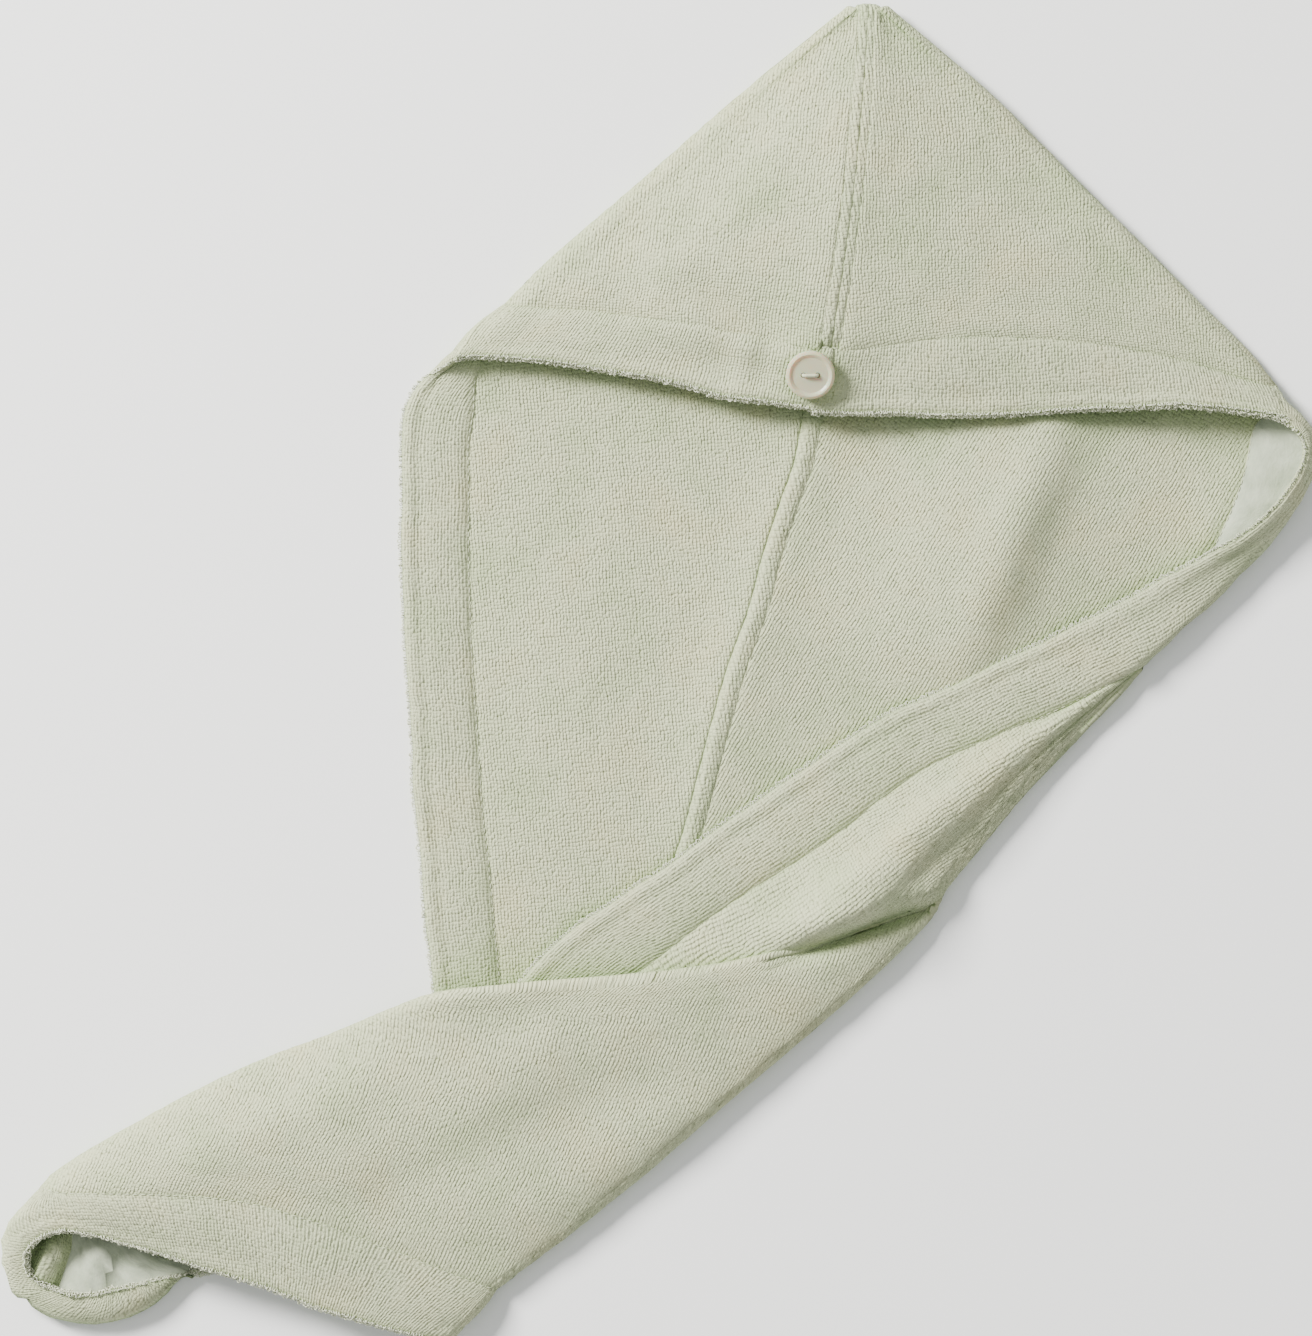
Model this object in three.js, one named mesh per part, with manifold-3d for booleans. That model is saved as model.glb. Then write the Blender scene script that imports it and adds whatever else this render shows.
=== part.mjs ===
import * as THREE from "three";
import { mergeVertices } from "three/addons/utils/BufferGeometryUtils.js";
import Module from "manifold-3d";

// Hair turban towel lying flat, seen from above: the hood at the top right, the tail at the bottom left.
// All lengths are in millimetres, and it lies on z = 0.

// Sizes of the whole towel
const PLAN_WIDTH = 590; // from the rolled corner of the tail to the right corner of the hood
const PLAN_LENGTH = 601; // from the apex of the hood to the end of the tail
const LOFT = 24; // how high the soft folds stand
const CLOTH = 3; // wall of the terry cloth
const HEM_CLOTH = 4.6; // doubled cloth of the hems
const HEM_WIDTH = 27; // from a free edge to the hem's line of stitches
const FOLD_RADIUS = 3.2; // bend of the cloth's middle where it is folded over flat
const SEAM_WIDTH = 10; // felled seam between the two halves
const SEAM_CLOTH = 4.2; // cloth of that seam
const GAP = 0.45; // room between neighbouring pieces

// Sizes of the button
const BUTTON_DIAMETER = 22;
const BUTTON_ASIDE = 6.5; // from the seam to the button's middle, towards the left
const BUTTON_THICKNESS = 3.6;
const BUTTON_RIM = 2.6; // width of its raised rim
const BUTTON_DISH = 0.9; // how deep its middle lies below the rim
const BUTTON_HOLE = 2.4; // diameter of each hole
const HOLE_PITCH = 6.4; // between the centres of its two holes
const THREAD = 0.8; // radius of the sewing thread

// Middle of the cloth where it lies on the surface
const CLOTH_REST = CLOTH / 2;
const HEM_REST = HEM_CLOTH / 2;

// Rows 0 to 4 run down the hood's flap, row 4 being its line of stitches, and the rest down to the tail's end.
const FLAP_ROW = 4;
const CORNER_ROW = 9;
const GROOVE_ROW = 16;
const STITCH_ROW = 22;
const END_ROW = 23;

// Line of the centre seam behind, x and y as shares of the plan from its top left corner
const BACK_SEAM = [
  { x: 0.661, y: 0.014 },
  { x: 0.657, y: 0.075 },
  { x: 0.652, y: 0.135 },
  { x: 0.644, y: 0.196 },
  { x: 0.631, y: 0.258 },
  { x: 0.622, y: 0.292 },
  { x: 0.617, y: 0.32 },
  { x: 0.611, y: 0.349 },
  { x: 0.604, y: 0.368 },
  { x: 0.597, y: 0.388 },
  { x: 0.588, y: 0.415 },
  { x: 0.578, y: 0.453 },
  { x: 0.561, y: 0.5 },
  { x: 0.543, y: 0.563 },
  { x: 0.528, y: 0.62 },
  { x: 0.518, y: 0.65 },
  { x: 0.512, y: 0.672 },
  { x: 0.505, y: 0.698 },
  { x: 0.494, y: 0.735 },
  { x: 0.479, y: 0.778 },
  { x: 0.447, y: 0.848 },
  { x: 0.392, y: 0.907 },
  { x: 0.338, y: 0.951 },
  { x: 0.307, y: 0.98 },
];

// Flap rows: seam in front, fold at the side, shares of LOFT at the seam and half-way, and the row's bow downwards
const LEFT_FLAP = [
  { seamX: 0.661, seamY: 0.011, foldX: 0.647, foldY: 0.008, crest: 0.36, rise: 0.33, bow: 0 },
  { seamX: 0.656, seamY: 0.075, foldX: 0.566, foldY: 0.073, crest: 0.7, rise: 0.55, bow: 0.002 },
  { seamX: 0.65, seamY: 0.135, foldX: 0.491, foldY: 0.137, crest: 0.9, rise: 0.7, bow: 0.004 },
  { seamX: 0.642, seamY: 0.196, foldX: 0.415, foldY: 0.199, crest: 0.95, rise: 0.75, bow: 0.004 },
  { seamX: 0.631, seamY: 0.265, foldX: 0.392, foldY: 0.229, crest: 0.85, rise: 0.66, bow: 0.003 },
];
const RIGHT_FLAP = [
  { seamX: 0.661, seamY: 0.011, foldX: 0.675, foldY: 0.008, crest: 0.36, rise: 0.33, bow: 0 },
  { seamX: 0.656, seamY: 0.075, foldX: 0.755, foldY: 0.075, crest: 0.7, rise: 0.5, bow: 0.002 },
  { seamX: 0.65, seamY: 0.135, foldX: 0.817, foldY: 0.136, crest: 0.88, rise: 0.62, bow: 0.002 },
  { seamX: 0.642, seamY: 0.196, foldX: 0.88, foldY: 0.197, crest: 0.92, rise: 0.66, bow: 0 },
  { seamX: 0.631, seamY: 0.265, foldX: 0.971, foldY: 0.291, crest: 0.82, rise: 0.62, bow: -0.012 },
];

// Lower edge of the flap: seam, corner, height at both and half-way as shares of LOFT, and the bow downwards
const LEFT_LIP = { seamX: 0.622, seamY: 0.307, foldX: 0.35, foldY: 0.268, crest: 0.6, rise: 0.52, side: 0.42, bow: 0 };
const RIGHT_LIP = { seamX: 0.622, seamY: 0.307, foldX: 0.978, foldY: 0.315, crest: 0.6, rise: 0.56, side: 0.6, bow: -0.004 };

// Free edge of the left half on the surface, from row 5 down
const LEFT_EDGE = [
  { x: 0.328, y: 0.283 },
  { x: 0.314, y: 0.303 },
  { x: 0.31, y: 0.329 },
  { x: 0.31, y: 0.356 },
  { x: 0.31, y: 0.382 },
  { x: 0.31, y: 0.412 },
  { x: 0.311, y: 0.453 },
  { x: 0.313, y: 0.498 },
  { x: 0.317, y: 0.55 },
  { x: 0.321, y: 0.606 },
  { x: 0.326, y: 0.655 },
  { x: 0.329, y: 0.69 },
  { x: 0.333, y: 0.728 },
  { x: 0.337, y: 0.765 },
  { x: 0.34, y: 0.8 },
  { x: 0.33, y: 0.838 },
  { x: 0.3, y: 0.882 },
  { x: 0.256, y: 0.926 },
  { x: 0.232, y: 0.952 },
];

// Right corner, rows 5 to 9: the hem's edge, its height as a share of LOFT, the outermost cloth and the inner stitches
const RIGHT_CORNER = [
  { edgeX: 0.991, edgeY: 0.33, edge: 0.6, outX: 0.998, outY: 0.328, out: 0.32, inX: 0.957, inY: 0.321 },
  { edgeX: 0.992, edgeY: 0.346, edge: 0.58, outX: 0.997, outY: 0.349, out: 0.3, inX: 0.95, inY: 0.352 },
  { edgeX: 0.982, edgeY: 0.366, edge: 0.54, outX: 0.989, outY: 0.371, out: 0.28, inX: 0.938, inY: 0.385 },
  { edgeX: 0.956, edgeY: 0.395, edge: 0.48, outX: 0.968, outY: 0.401, out: 0.27, inX: 0.923, inY: 0.415 },
  { edgeX: 0.914, edgeY: 0.42, edge: 0.4, outX: 0.936, outY: 0.433, out: 0.25, inX: 0.896, inY: 0.462 },
];

// Folded-over part, rows 10 to 16: the hem's edge, the fold on the right, heights as shares of LOFT, and the bow
const FOLD_OVER = [
  { edgeX: 0.849, edgeY: 0.457, foldX: 0.868, foldY: 0.5, edge: 0.34, rise: 0.4, shoulder: 0.38, bow: 0 },
  { edgeX: 0.794, edgeY: 0.485, foldX: 0.822, foldY: 0.549, edge: 0.31, rise: 0.45, shoulder: 0.4, bow: 0 },
  { edgeX: 0.733, edgeY: 0.512, foldX: 0.778, foldY: 0.594, edge: 0.3, rise: 0.55, shoulder: 0.44, bow: 0 },
  { edgeX: 0.672, edgeY: 0.542, foldX: 0.741, foldY: 0.638, edge: 0.3, rise: 0.72, shoulder: 0.5, bow: 0.003 },
  { edgeX: 0.601, edgeY: 0.586, foldX: 0.723, foldY: 0.659, edge: 0.3, rise: 0.84, shoulder: 0.54, bow: 0.004 },
  { edgeX: 0.52, edgeY: 0.644, foldX: 0.719, foldY: 0.664, edge: 0.3, rise: 0.78, shoulder: 0.5, bow: 0.012 },
  { edgeX: 0.41, edgeY: 0.722, foldX: 0.716, foldY: 0.67, edge: 0.3, rise: 0.4, shoulder: 0.36, bow: 0.018 },
];

// Tail, rows 17 to 23: the tucked hem's edge and its height, the left side, the right fold, and heights of LOFT
const TAIL = [
  { edgeX: 0.366, edgeY: 0.79, edge: 0.32, sideX: 0.335, sideY: 0.744, side: 0.54, foldX: 0.708, foldY: 0.685, rise: 0.7, bow: 0.016 },
  { edgeX: 0.316, edgeY: 0.823, edge: 0.32, sideX: 0.302, sideY: 0.755, side: 0.5, foldX: 0.64, foldY: 0.75, rise: 0.78, bow: 0.004 },
  { edgeX: 0.29, edgeY: 0.843, edge: 0.16, sideX: 0.256, sideY: 0.774, side: 0.34, foldX: 0.556, foldY: 0.82, rise: 0.8, bow: 0 },
  { edgeX: 0.232, edgeY: 0.868, edge: 0.1, sideX: 0.19, sideY: 0.799, side: 0.28, foldX: 0.488, foldY: 0.878, rise: 0.8, bow: -0.002 },
  { edgeX: 0.156, edgeY: 0.907, edge: 0.1, sideX: 0.112, sideY: 0.838, side: 0.34, foldX: 0.432, foldY: 0.922, rise: 0.82, bow: -0.006 },
  { edgeX: 0.13, edgeY: 0.945, edge: 0.1, sideX: 0.026, sideY: 0.895, side: 0.38, foldX: 0.378, foldY: 0.963, rise: 0.86, bow: -0.02 },
  { edgeX: 0.155, edgeY: 0.958, edge: 0.1, sideX: 0.005, sideY: 0.934, side: 0.4, foldX: 0.348, foldY: 0.993, rise: 0.8, bow: -0.004 },
];

// A point from shares of the plan and a height
function at(x, y, z) {
  return new THREE.Vector3((x - 0.5) * PLAN_WIDTH, (0.5 - y) * PLAN_LENGTH, z);
}

// The point a distance along the way from one point towards another, level with the first
function towards(from, to, distance) {
  const way = new THREE.Vector3(to.x - from.x, to.y - from.y, 0).normalize();
  return from.clone().addScaledVector(way, distance);
}

function between(from, to, share) {
  return from.clone().lerp(to, share);
}

// Height of the cloth's middle above the surface for a share of the loft
function lofted(share) {
  return Math.max(share * LOFT, CLOTH_REST);
}

// Columns of a half: 0 to 6 lie above, 6 is the fold at the side, and 6 to 10 lie below, 10 being the centre seam.
const FOLD_COLUMN = 6;
const SEAM_COLUMN = 10;

// The part of a row below its fold: round the fold and along the surface to the centre seam
function lyingColumns(fold, seam) {
  const turn = towards(fold, seam, 1.4 * FOLD_RADIUS).setZ(CLOTH_REST);
  return [turn, between(turn, seam, 0.34), between(turn, seam, 0.67), seam];
}

// The same part where no fold comes before it
function flatColumns(start, seam) {
  return [0.25, 0.5, 0.75, 1].map((share) => between(start, seam, share));
}

// The centre seam's edge in a row, on the side of the half it belongs to
function backSeamEdge(row, side) {
  const { x, y } = BACK_SEAM[row];
  const reach = row === 0 ? 0.7 : 1;
  return at(x, y, CLOTH_REST).add(new THREE.Vector3((side * reach * SEAM_WIDTH) / 2, 0, 0));
}

function flapRow({ seamX, seamY, foldX, foldY, crest, rise, bow }, row, side) {
  const reach = row === 0 ? 0.7 : 1;
  const seam = at(seamX, seamY, lofted(crest)).add(new THREE.Vector3((side * reach * SEAM_WIDTH) / 2, 0, 0));
  const fold = at(foldX, foldY, CLOTH_REST + FOLD_RADIUS);
  const shoulder = towards(fold, seam, Math.min(1.4 * FOLD_RADIUS, 0.4 * fold.distanceTo(seam)));
  shoulder.z = CLOTH_REST + 2 * FOLD_RADIUS;
  const top = [0, 0.25, 0.5, 0.78].map((share) => {
    const point = between(seam, shoulder, share);
    point.z = THREE.MathUtils.lerp(seam.z, shoulder.z, share) + humped(seam.z, shoulder.z, lofted(rise), share);
    point.y -= 4 * share * (1 - share) * bow * PLAN_LENGTH;
    return point;
  });
  const before = between(top[3], shoulder, 0.55);
  const under = row === 0 ? flatColumns(fold, backSeamEdge(row, side)) : lyingColumns(fold, backSeamEdge(row, side));
  if (row === 0) under.forEach((point) => point.setZ(CLOTH_REST));
  return [...top, before, shoulder, fold, ...under];
}

// What a soft hump adds at a share of the way so that the middle has the height asked for
function humped(start, end, middle, share) {
  return Math.sin(Math.PI * share) ** 2 * (middle - (start + end) / 2);
}

function leftEdge(row) {
  const { x, y } = LEFT_EDGE[row - FLAP_ROW - 1];
  return at(x, y, HEM_REST);
}

// Rows of the left half
function leftRows() {
  const rows = LEFT_FLAP.map((section, row) => flapRow(section, row, -1));
  for (let row = FLAP_ROW + 1; row <= END_ROW; row++) {
    const seam = backSeamEdge(row, -1);
    const edge = leftEdge(row);
    const width = Math.min(HEM_WIDTH, 0.45 * edge.distanceTo(seam));
    const stitches = towards(edge, seam, width).setZ(CLOTH_REST);
    const flap = rows[FLAP_ROW].slice(0, FOLD_COLUMN);
    rows.push([...flap, stitches, ...flatColumns(stitches, seam)]);
  }
  return rows;
}

function cornerRow({ inX, inY }, row, flap) {
  const stitches = at(inX, inY, CLOTH_REST);
  return [...flap, stitches, ...flatColumns(stitches, backSeamEdge(row, 1))];
}

function foldOverRow({ edgeX, edgeY, foldX, foldY, edge, rise, shoulder, bow }, row) {
  const rim = at(edgeX, edgeY, lofted(edge));
  const fold = at(foldX, foldY, CLOTH_REST + FOLD_RADIUS);
  const stitches = towards(rim, fold, Math.min(HEM_WIDTH, 0.7 * rim.distanceTo(fold)));
  const turn = towards(fold, rim, Math.min(1.4 * FOLD_RADIUS, 0.3 * stitches.distanceTo(fold)));
  turn.z = Math.max(lofted(shoulder), CLOTH_REST + 2 * FOLD_RADIUS);
  const top = [0, 0.2, 0.42, 0.62, 0.82].map((share) => {
    const point = between(stitches, turn, share);
    point.z = THREE.MathUtils.lerp(rim.z, turn.z, share) + humped(rim.z, turn.z, lofted(rise), share);
    point.y -= 4 * share * (1 - share) * bow * PLAN_LENGTH;
    return point;
  });
  return [...top, turn, fold, ...lyingColumns(fold, backSeamEdge(row, 1))];
}

function tailRow({ edgeX, edgeY, edge, sideX, sideY, side, foldX, foldY, rise, bow }, row) {
  const rim = at(edgeX, edgeY, lofted(edge));
  const left = at(sideX, sideY, lofted(side));
  const fold = at(foldX, foldY, CLOTH_REST + FOLD_RADIUS);
  const stitches = towards(rim, left, Math.min(HEM_WIDTH, 0.6 * rim.distanceTo(left)));
  const under = towards(left, rim, 2 * FOLD_RADIUS).setZ(rim.z);
  const over = towards(left, fold, 2 * FOLD_RADIUS).setZ(2 * left.z - rim.z);
  const turn = towards(fold, left, 1.4 * FOLD_RADIUS).setZ(CLOTH_REST + 2 * FOLD_RADIUS);
  const middle = between(over, turn, 0.45).setZ(lofted(rise));
  middle.y -= bow * PLAN_LENGTH;
  const top = [stitches, under, left, over, middle, turn, fold];
  return [...top, ...lyingColumns(fold, backSeamEdge(row, 1))];
}

// Rows of the right half
function rightRows() {
  const rows = RIGHT_FLAP.map((section, row) => flapRow(section, row, 1));
  const flap = rows[FLAP_ROW].slice(0, FOLD_COLUMN);
  const folded = FOLD_OVER.map((section, i) => foldOverRow(section, CORNER_ROW + 1 + i));
  RIGHT_CORNER.forEach((section, i) => {
    const above = i < 2 ? flap : folded[0].slice(0, FOLD_COLUMN);
    rows.push(cornerRow(section, FLAP_ROW + 1 + i, above));
  });
  rows.push(...folded);
  TAIL.forEach((section, i) => rows.push(tailRow(section, GROOVE_ROW + 1 + i)));
  return rows;
}

// Places from one value to another in equal steps
function places(from, to, steps) {
  return Array.from({ length: steps + 1 }, (_, i) => from + ((to - from) * i) / steps);
}

// Where the cloth is read: along its rows and across its columns
const ROW_PLACES = [
  ...places(0, FLAP_ROW, 9),
  ...places(FLAP_ROW + 0.5, CORNER_ROW, 6),
  ...places(CORNER_ROW + 0.6, CORNER_ROW + 1, 1),
  ...places(CORNER_ROW + 1.5, GROOVE_ROW - 0.5, 9),
  ...places(GROOVE_ROW, STITCH_ROW, 12),
];
const COLUMN_PLACES = [...places(0, 4, 6), 4.6, 5, 5.4, 5.7, 6, 6.4, 7, ...places(7.75, SEAM_COLUMN, 3)];

// A smooth curve through points, read at a place counted in points
function through(points, place) {
  const curve = new THREE.CatmullRomCurve3(points, false, "centripetal");
  return curve.getPoint(THREE.MathUtils.clamp(place / (points.length - 1), 0, 1));
}

// The point of a half at a row and a column, whole or in between
function surface(rows, row, column) {
  return through(
    rows.map((points) => through(points, column)),
    row,
  );
}

function gridOf(rows, rowPlaces, columnPlaces) {
  const curves = rows.map((points) => new THREE.CatmullRomCurve3(points, false, "centripetal"));
  const span = rows[0].length - 1;
  const columns = columnPlaces.map((column) => {
    const line = curves.map((curve) => curve.getPoint(column / span));
    const down = new THREE.CatmullRomCurve3(line, false, "centripetal");
    return rowPlaces.map((row) => down.getPoint(row / (rows.length - 1)));
  });
  return rowPlaces.map((_, i) => columns.map((column) => column[i]));
}

// A closed wall of cloth about a grid of points, over the cells that the filter keeps
function wall(grid, thickness, keeps = () => true) {
  const height = grid.length;
  const width = grid[0].length;
  const kept = (i, j) => i >= 0 && j >= 0 && i < height - 1 && j < width - 1 && keeps(i, j);
  grid.flat().forEach((point) => point.setZ(Math.max(point.z, thickness / 2)));
  const positions = [];
  const numbers = grid.map((row, i) =>
    row.map((point, j) => {
      const cells = [kept(i - 1, j - 1), kept(i - 1, j), kept(i, j - 1), kept(i, j)];
      if (!cells.some(Boolean)) return -1;
      const above = cells[0] || cells[1] ? grid[i - 1][j] : point;
      const below = cells[2] || cells[3] ? grid[i + 1][j] : point;
      const before = cells[0] || cells[2] ? grid[i][j - 1] : point;
      const after = cells[1] || cells[3] ? grid[i][j + 1] : point;
      const down = below.clone().sub(above);
      const across = after.clone().sub(before);
      const normal = down.cross(across).normalize();
      const number = positions.length / 6;
      for (const share of [0.5, -0.5]) positions.push(...point.clone().addScaledVector(normal, share * thickness));
      return number;
    }),
  );
  const triangles = [];
  const quad = (a, b, c, d) => triangles.push(a, b, c, a, c, d);
  const face = (i, j, side) => 2 * numbers[i][j] + side;
  for (let i = 0; i < height - 1; i++) {
    for (let j = 0; j < width - 1; j++) {
      if (!kept(i, j)) continue;
      quad(face(i, j, 0), face(i + 1, j, 0), face(i + 1, j + 1, 0), face(i, j + 1, 0));
      quad(face(i, j, 1), face(i, j + 1, 1), face(i + 1, j + 1, 1), face(i + 1, j, 1));
      const rim = (a, b) => quad(face(...a, 0), face(...b, 0), face(...b, 1), face(...a, 1));
      if (!kept(i - 1, j)) rim([i, j], [i, j + 1]);
      if (!kept(i + 1, j)) rim([i + 1, j + 1], [i + 1, j]);
      if (!kept(i, j - 1)) rim([i + 1, j], [i, j]);
      if (!kept(i, j + 1)) rim([i, j + 1], [i + 1, j + 1]);
    }
  }
  return solid(positions, triangles);
}

// Triangles turned outwards by the sign of their volume
function solid(positions, triangles) {
  const corner = (k) => new THREE.Vector3().fromArray(positions, 3 * triangles[k]);
  let volume = 0;
  for (let k = 0; k < triangles.length; k += 3) volume += corner(k).dot(corner(k + 1).cross(corner(k + 2)));
  if (volume < 0) triangles.reverse();
  const geometry = new THREE.BufferGeometry();
  geometry.setAttribute("position", new THREE.Float32BufferAttribute(positions, 3));
  geometry.setIndex(triangles);
  geometry.computeVertexNormals();
  return geometry;
}

// A half's cloth between its hems and the centre seam; the mouth leaves out the upper cells between two rows.
function panel(rows, mouthEnd) {
  const grid = gridOf(rows, ROW_PLACES, COLUMN_PLACES);
  const inMouth = (i, j) =>
    COLUMN_PLACES[j] < FOLD_COLUMN && ROW_PLACES[i] >= FLAP_ROW && ROW_PLACES[i] < mouthEnd;
  return wall(grid, CLOTH, (i, j) => !inMouth(i, j));
}

// A doubled band from the free edge to the line of stitches, which is read off the half's own cloth: along row 4 of
// the flap, then down the fold's column, and from the turning row on down the first column.
function hemBand(rows, stations, turningRow) {
  const numbers = stations.map((station) => new THREE.Vector3(station.loose || 0, 0, 0));
  const onFlap = COLUMN_PLACES.filter((column) => column < FOLD_COLUMN);
  const below = ROW_PLACES.filter((row) => row > FLAP_ROW);
  const stops = [
    ...onFlap.map((column) => ({ place: column, row: FLAP_ROW, column })),
    { place: FOLD_COLUMN, row: FLAP_ROW, column: FOLD_COLUMN },
    ...below.map((row) => ({ place: FOLD_COLUMN + row - FLAP_ROW, row, column: row < turningRow ? FOLD_COLUMN : 0 })),
  ];
  const grid = stops.map(({ place, row, column }) => {
    const inner = surface(rows, row, column);
    const climbing = row > CORNER_ROW && row < turningRow && turningRow < END_ROW;
    inner.z = Math.max(inner.z, climbing ? CLOTH + 2 * GAP + HEM_REST : HEM_REST);
    const edge = through(stations.map((station) => station.edge), place);
    const outer = through(stations.map((station) => station.out), place);
    const loose = GAP * (1 + through(numbers, place).x);
    const end = between(inner, outer, Math.min(loose / inner.distanceTo(outer), 0.5));
    return places(0, 1, 4).map((share) => through([edge, outer, end], 2 * share));
  });
  return wall(grid, HEM_CLOTH);
}

// Stations of the flap's hem: from the seam out to the side fold
function lipStations(rows, lip, side) {
  const seam = at(lip.seamX, lip.seamY, lofted(lip.crest)).add(new THREE.Vector3((side * SEAM_WIDTH) / 2, 0, 0));
  const corner = at(lip.foldX, lip.foldY, lofted(lip.side));
  return [0, 1, 2, 3, 4, 5].map((column) => {
    const inner = rows[FLAP_ROW][column].clone();
    const share = Math.abs(inner.x - seam.x) / Math.abs(rows[FLAP_ROW][FOLD_COLUMN].x - seam.x);
    const edge = between(seam, corner, share);
    edge.z = THREE.MathUtils.lerp(seam.z, corner.z, share) + humped(seam.z, corner.z, lofted(lip.rise), share);
    edge.y -= 4 * share * (1 - share) * lip.bow * PLAN_LENGTH;
    return { edge, out: between(edge, inner, 0.5), inner };
  });
}

function leftStations(rows) {
  const stations = lipStations(rows, LEFT_LIP, -1);
  const fold = rows[FLAP_ROW][FOLD_COLUMN].clone();
  const corner = at(LEFT_LIP.foldX, LEFT_LIP.foldY, lofted(LEFT_LIP.side));
  const side = between(corner, fold, 0.5).setZ(HEM_REST + FOLD_RADIUS);
  side.add(new THREE.Vector3(-FOLD_RADIUS / 2, FOLD_RADIUS / 2, 0));
  stations[stations.length - 1].loose = 5;
  stations.push({ edge: corner, out: side, inner: fold, loose: 12 });
  for (let row = FLAP_ROW + 1; row <= STITCH_ROW; row++) {
    const inner = rows[row][FOLD_COLUMN].clone().setZ(HEM_REST);
    const edge = leftEdge(row);
    stations.push({ edge, out: between(edge, inner, 0.5), inner, loose: row === FLAP_ROW + 1 ? 9 : 3 });
  }
  return stations;
}

function rightStations(rows) {
  const stations = lipStations(rows, RIGHT_LIP, 1);
  const fold = rows[FLAP_ROW][FOLD_COLUMN].clone();
  const corner = at(RIGHT_LIP.foldX, RIGHT_LIP.foldY, lofted(RIGHT_LIP.side));
  stations[stations.length - 1].loose = 1;
  stations.push({ edge: corner, out: between(corner, fold, 0.5), inner: fold, loose: 3 });
  RIGHT_CORNER.forEach((section, i) => {
    const inner = rows[FLAP_ROW + 1 + i][FOLD_COLUMN].clone().setZ(HEM_REST);
    const edge = at(section.edgeX, section.edgeY, lofted(section.edge));
    stations.push({ edge, out: at(section.outX, section.outY, lofted(section.out)), inner, loose: i < 4 ? 3 : 6 });
  });
  const slack = [6, 1, 1, 1, 1, 1, 4, 4];
  [...FOLD_OVER, ...TAIL.slice(0, -1)].forEach((section, i) => {
    const inner = rows[CORNER_ROW + 1 + i][0].clone();
    const edge = at(section.edgeX, section.edgeY, lofted(section.edge));
    inner.z = Math.max(inner.z, HEM_REST);
    edge.z = Math.max(edge.z, HEM_REST);
    stations.push({ edge, out: between(edge, inner, 0.5), inner, loose: slack[i] || 1 });
  });
  return stations;
}

// Colours of the terry cloth and the button
function clothMaterial(name) {
  return new THREE.MeshStandardMaterial({ name, color: "#c3cbb4", roughness: 0.95, metalness: 0 });
}

function named(name, geometry, material) {
  const mesh = new THREE.Mesh(geometry, material);
  mesh.name = name;
  return mesh;
}

// Edges of the centre seam, read off the halves: up the flap from the nape, round the apex and down the back
function seamStations(leftHalf, rightHalf) {
  const half = new THREE.Vector3(SEAM_WIDTH / 2, 0, 0);
  const nape = at(LEFT_LIP.seamX, LEFT_LIP.seamY, lofted(LEFT_LIP.crest));
  const ends = (row, column) => [surface(leftHalf, row, column), surface(rightHalf, row, column)];
  const stitches = ends(FLAP_ROW, 0);
  const lip = [nape.clone().sub(half), nape.clone().add(half)];
  const front = ROW_PLACES.filter((row) => row <= FLAP_ROW).reverse();
  const [above, below] = [leftHalf[0][0], leftHalf[0][SEAM_COLUMN]];
  const apex = at(BACK_SEAM[0].x, 0.003, (above.z + below.z) / 2);
  apex.y -= SEAM_CLOTH / 2;
  return [
    ...[0, 0.33, 0.67].map((share) => lip.map((point, i) => between(point, stitches[i], share))),
    ...front.map((row) => ends(row, 0)),
    [-0.5, 0.5].map((share) => apex.clone().addScaledVector(half, share)),
    ...ROW_PLACES.map((row) => ends(row, SEAM_COLUMN).map((point) => point.setZ(SEAM_CLOTH / 2))),
  ];
}

// The felled seam between those edges
function seamStrip(stations) {
  const grid = stations.map(([start, end]) => {
    const room = start.distanceTo(end) < 0.85 * SEAM_WIDTH ? 2.5 * GAP : 1.1 * GAP;
    const margin = Math.min(room / start.distanceTo(end), 0.3);
    return [margin, 0.5, 1 - margin].map((place) => between(start, end, place));
  });
  return wall(grid, SEAM_CLOTH);
}

// The hem across the tail's end, read off both halves, from the right half's tucked edge to the left half's
function endHem(leftHalf, rightHalf) {
  const lineOf = (row) => {
    const { edgeX, edgeY, edge } = TAIL[row - GROOVE_ROW - 1];
    const tucked = at(edgeX, edgeY, lofted(edge));
    const right = COLUMN_PLACES.map((column) => surface(rightHalf, row, column));
    const under = COLUMN_PLACES.filter((column) => column >= FOLD_COLUMN).reverse();
    const left = under.map((column) => surface(leftHalf, row, column));
    const start = [0, 0.33, 0.67].map((share) => between(tucked, right[0], share));
    const end = [0.33, 0.67, 1].map((share) => between(left[left.length - 1], leftEdge(row), share));
    return [...start, ...right, ...left, ...end].map((point) => point.setZ(Math.max(point.z, HEM_REST)));
  };
  const [stitches, edge] = [STITCH_ROW, END_ROW].map(lineOf);
  const columns = stitches.map((start, i) => {
    const gap = (1.5 * GAP) / start.distanceTo(edge[i]);
    return [gap, 0.35, 0.7, 1].map((share) => between(start, edge[i], share));
  });
  return wall([0, 1, 2, 3].map((i) => columns.map((column) => column[i])), HEM_CLOTH);
}

const wasm = await Module();
wasm.setup();

// A closed geometry as a solid that can be cut
function cuttable(geometry) {
  const bare = new THREE.BufferGeometry().setAttribute("position", geometry.getAttribute("position"));
  bare.setIndex(geometry.index);
  const merged = mergeVertices(bare, 1e-4);
  const vertProperties = merged.attributes.position.array;
  return new wasm.Manifold(new wasm.Mesh({ numProp: 3, vertProperties, triVerts: new Uint32Array(merged.index.array) }));
}

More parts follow.
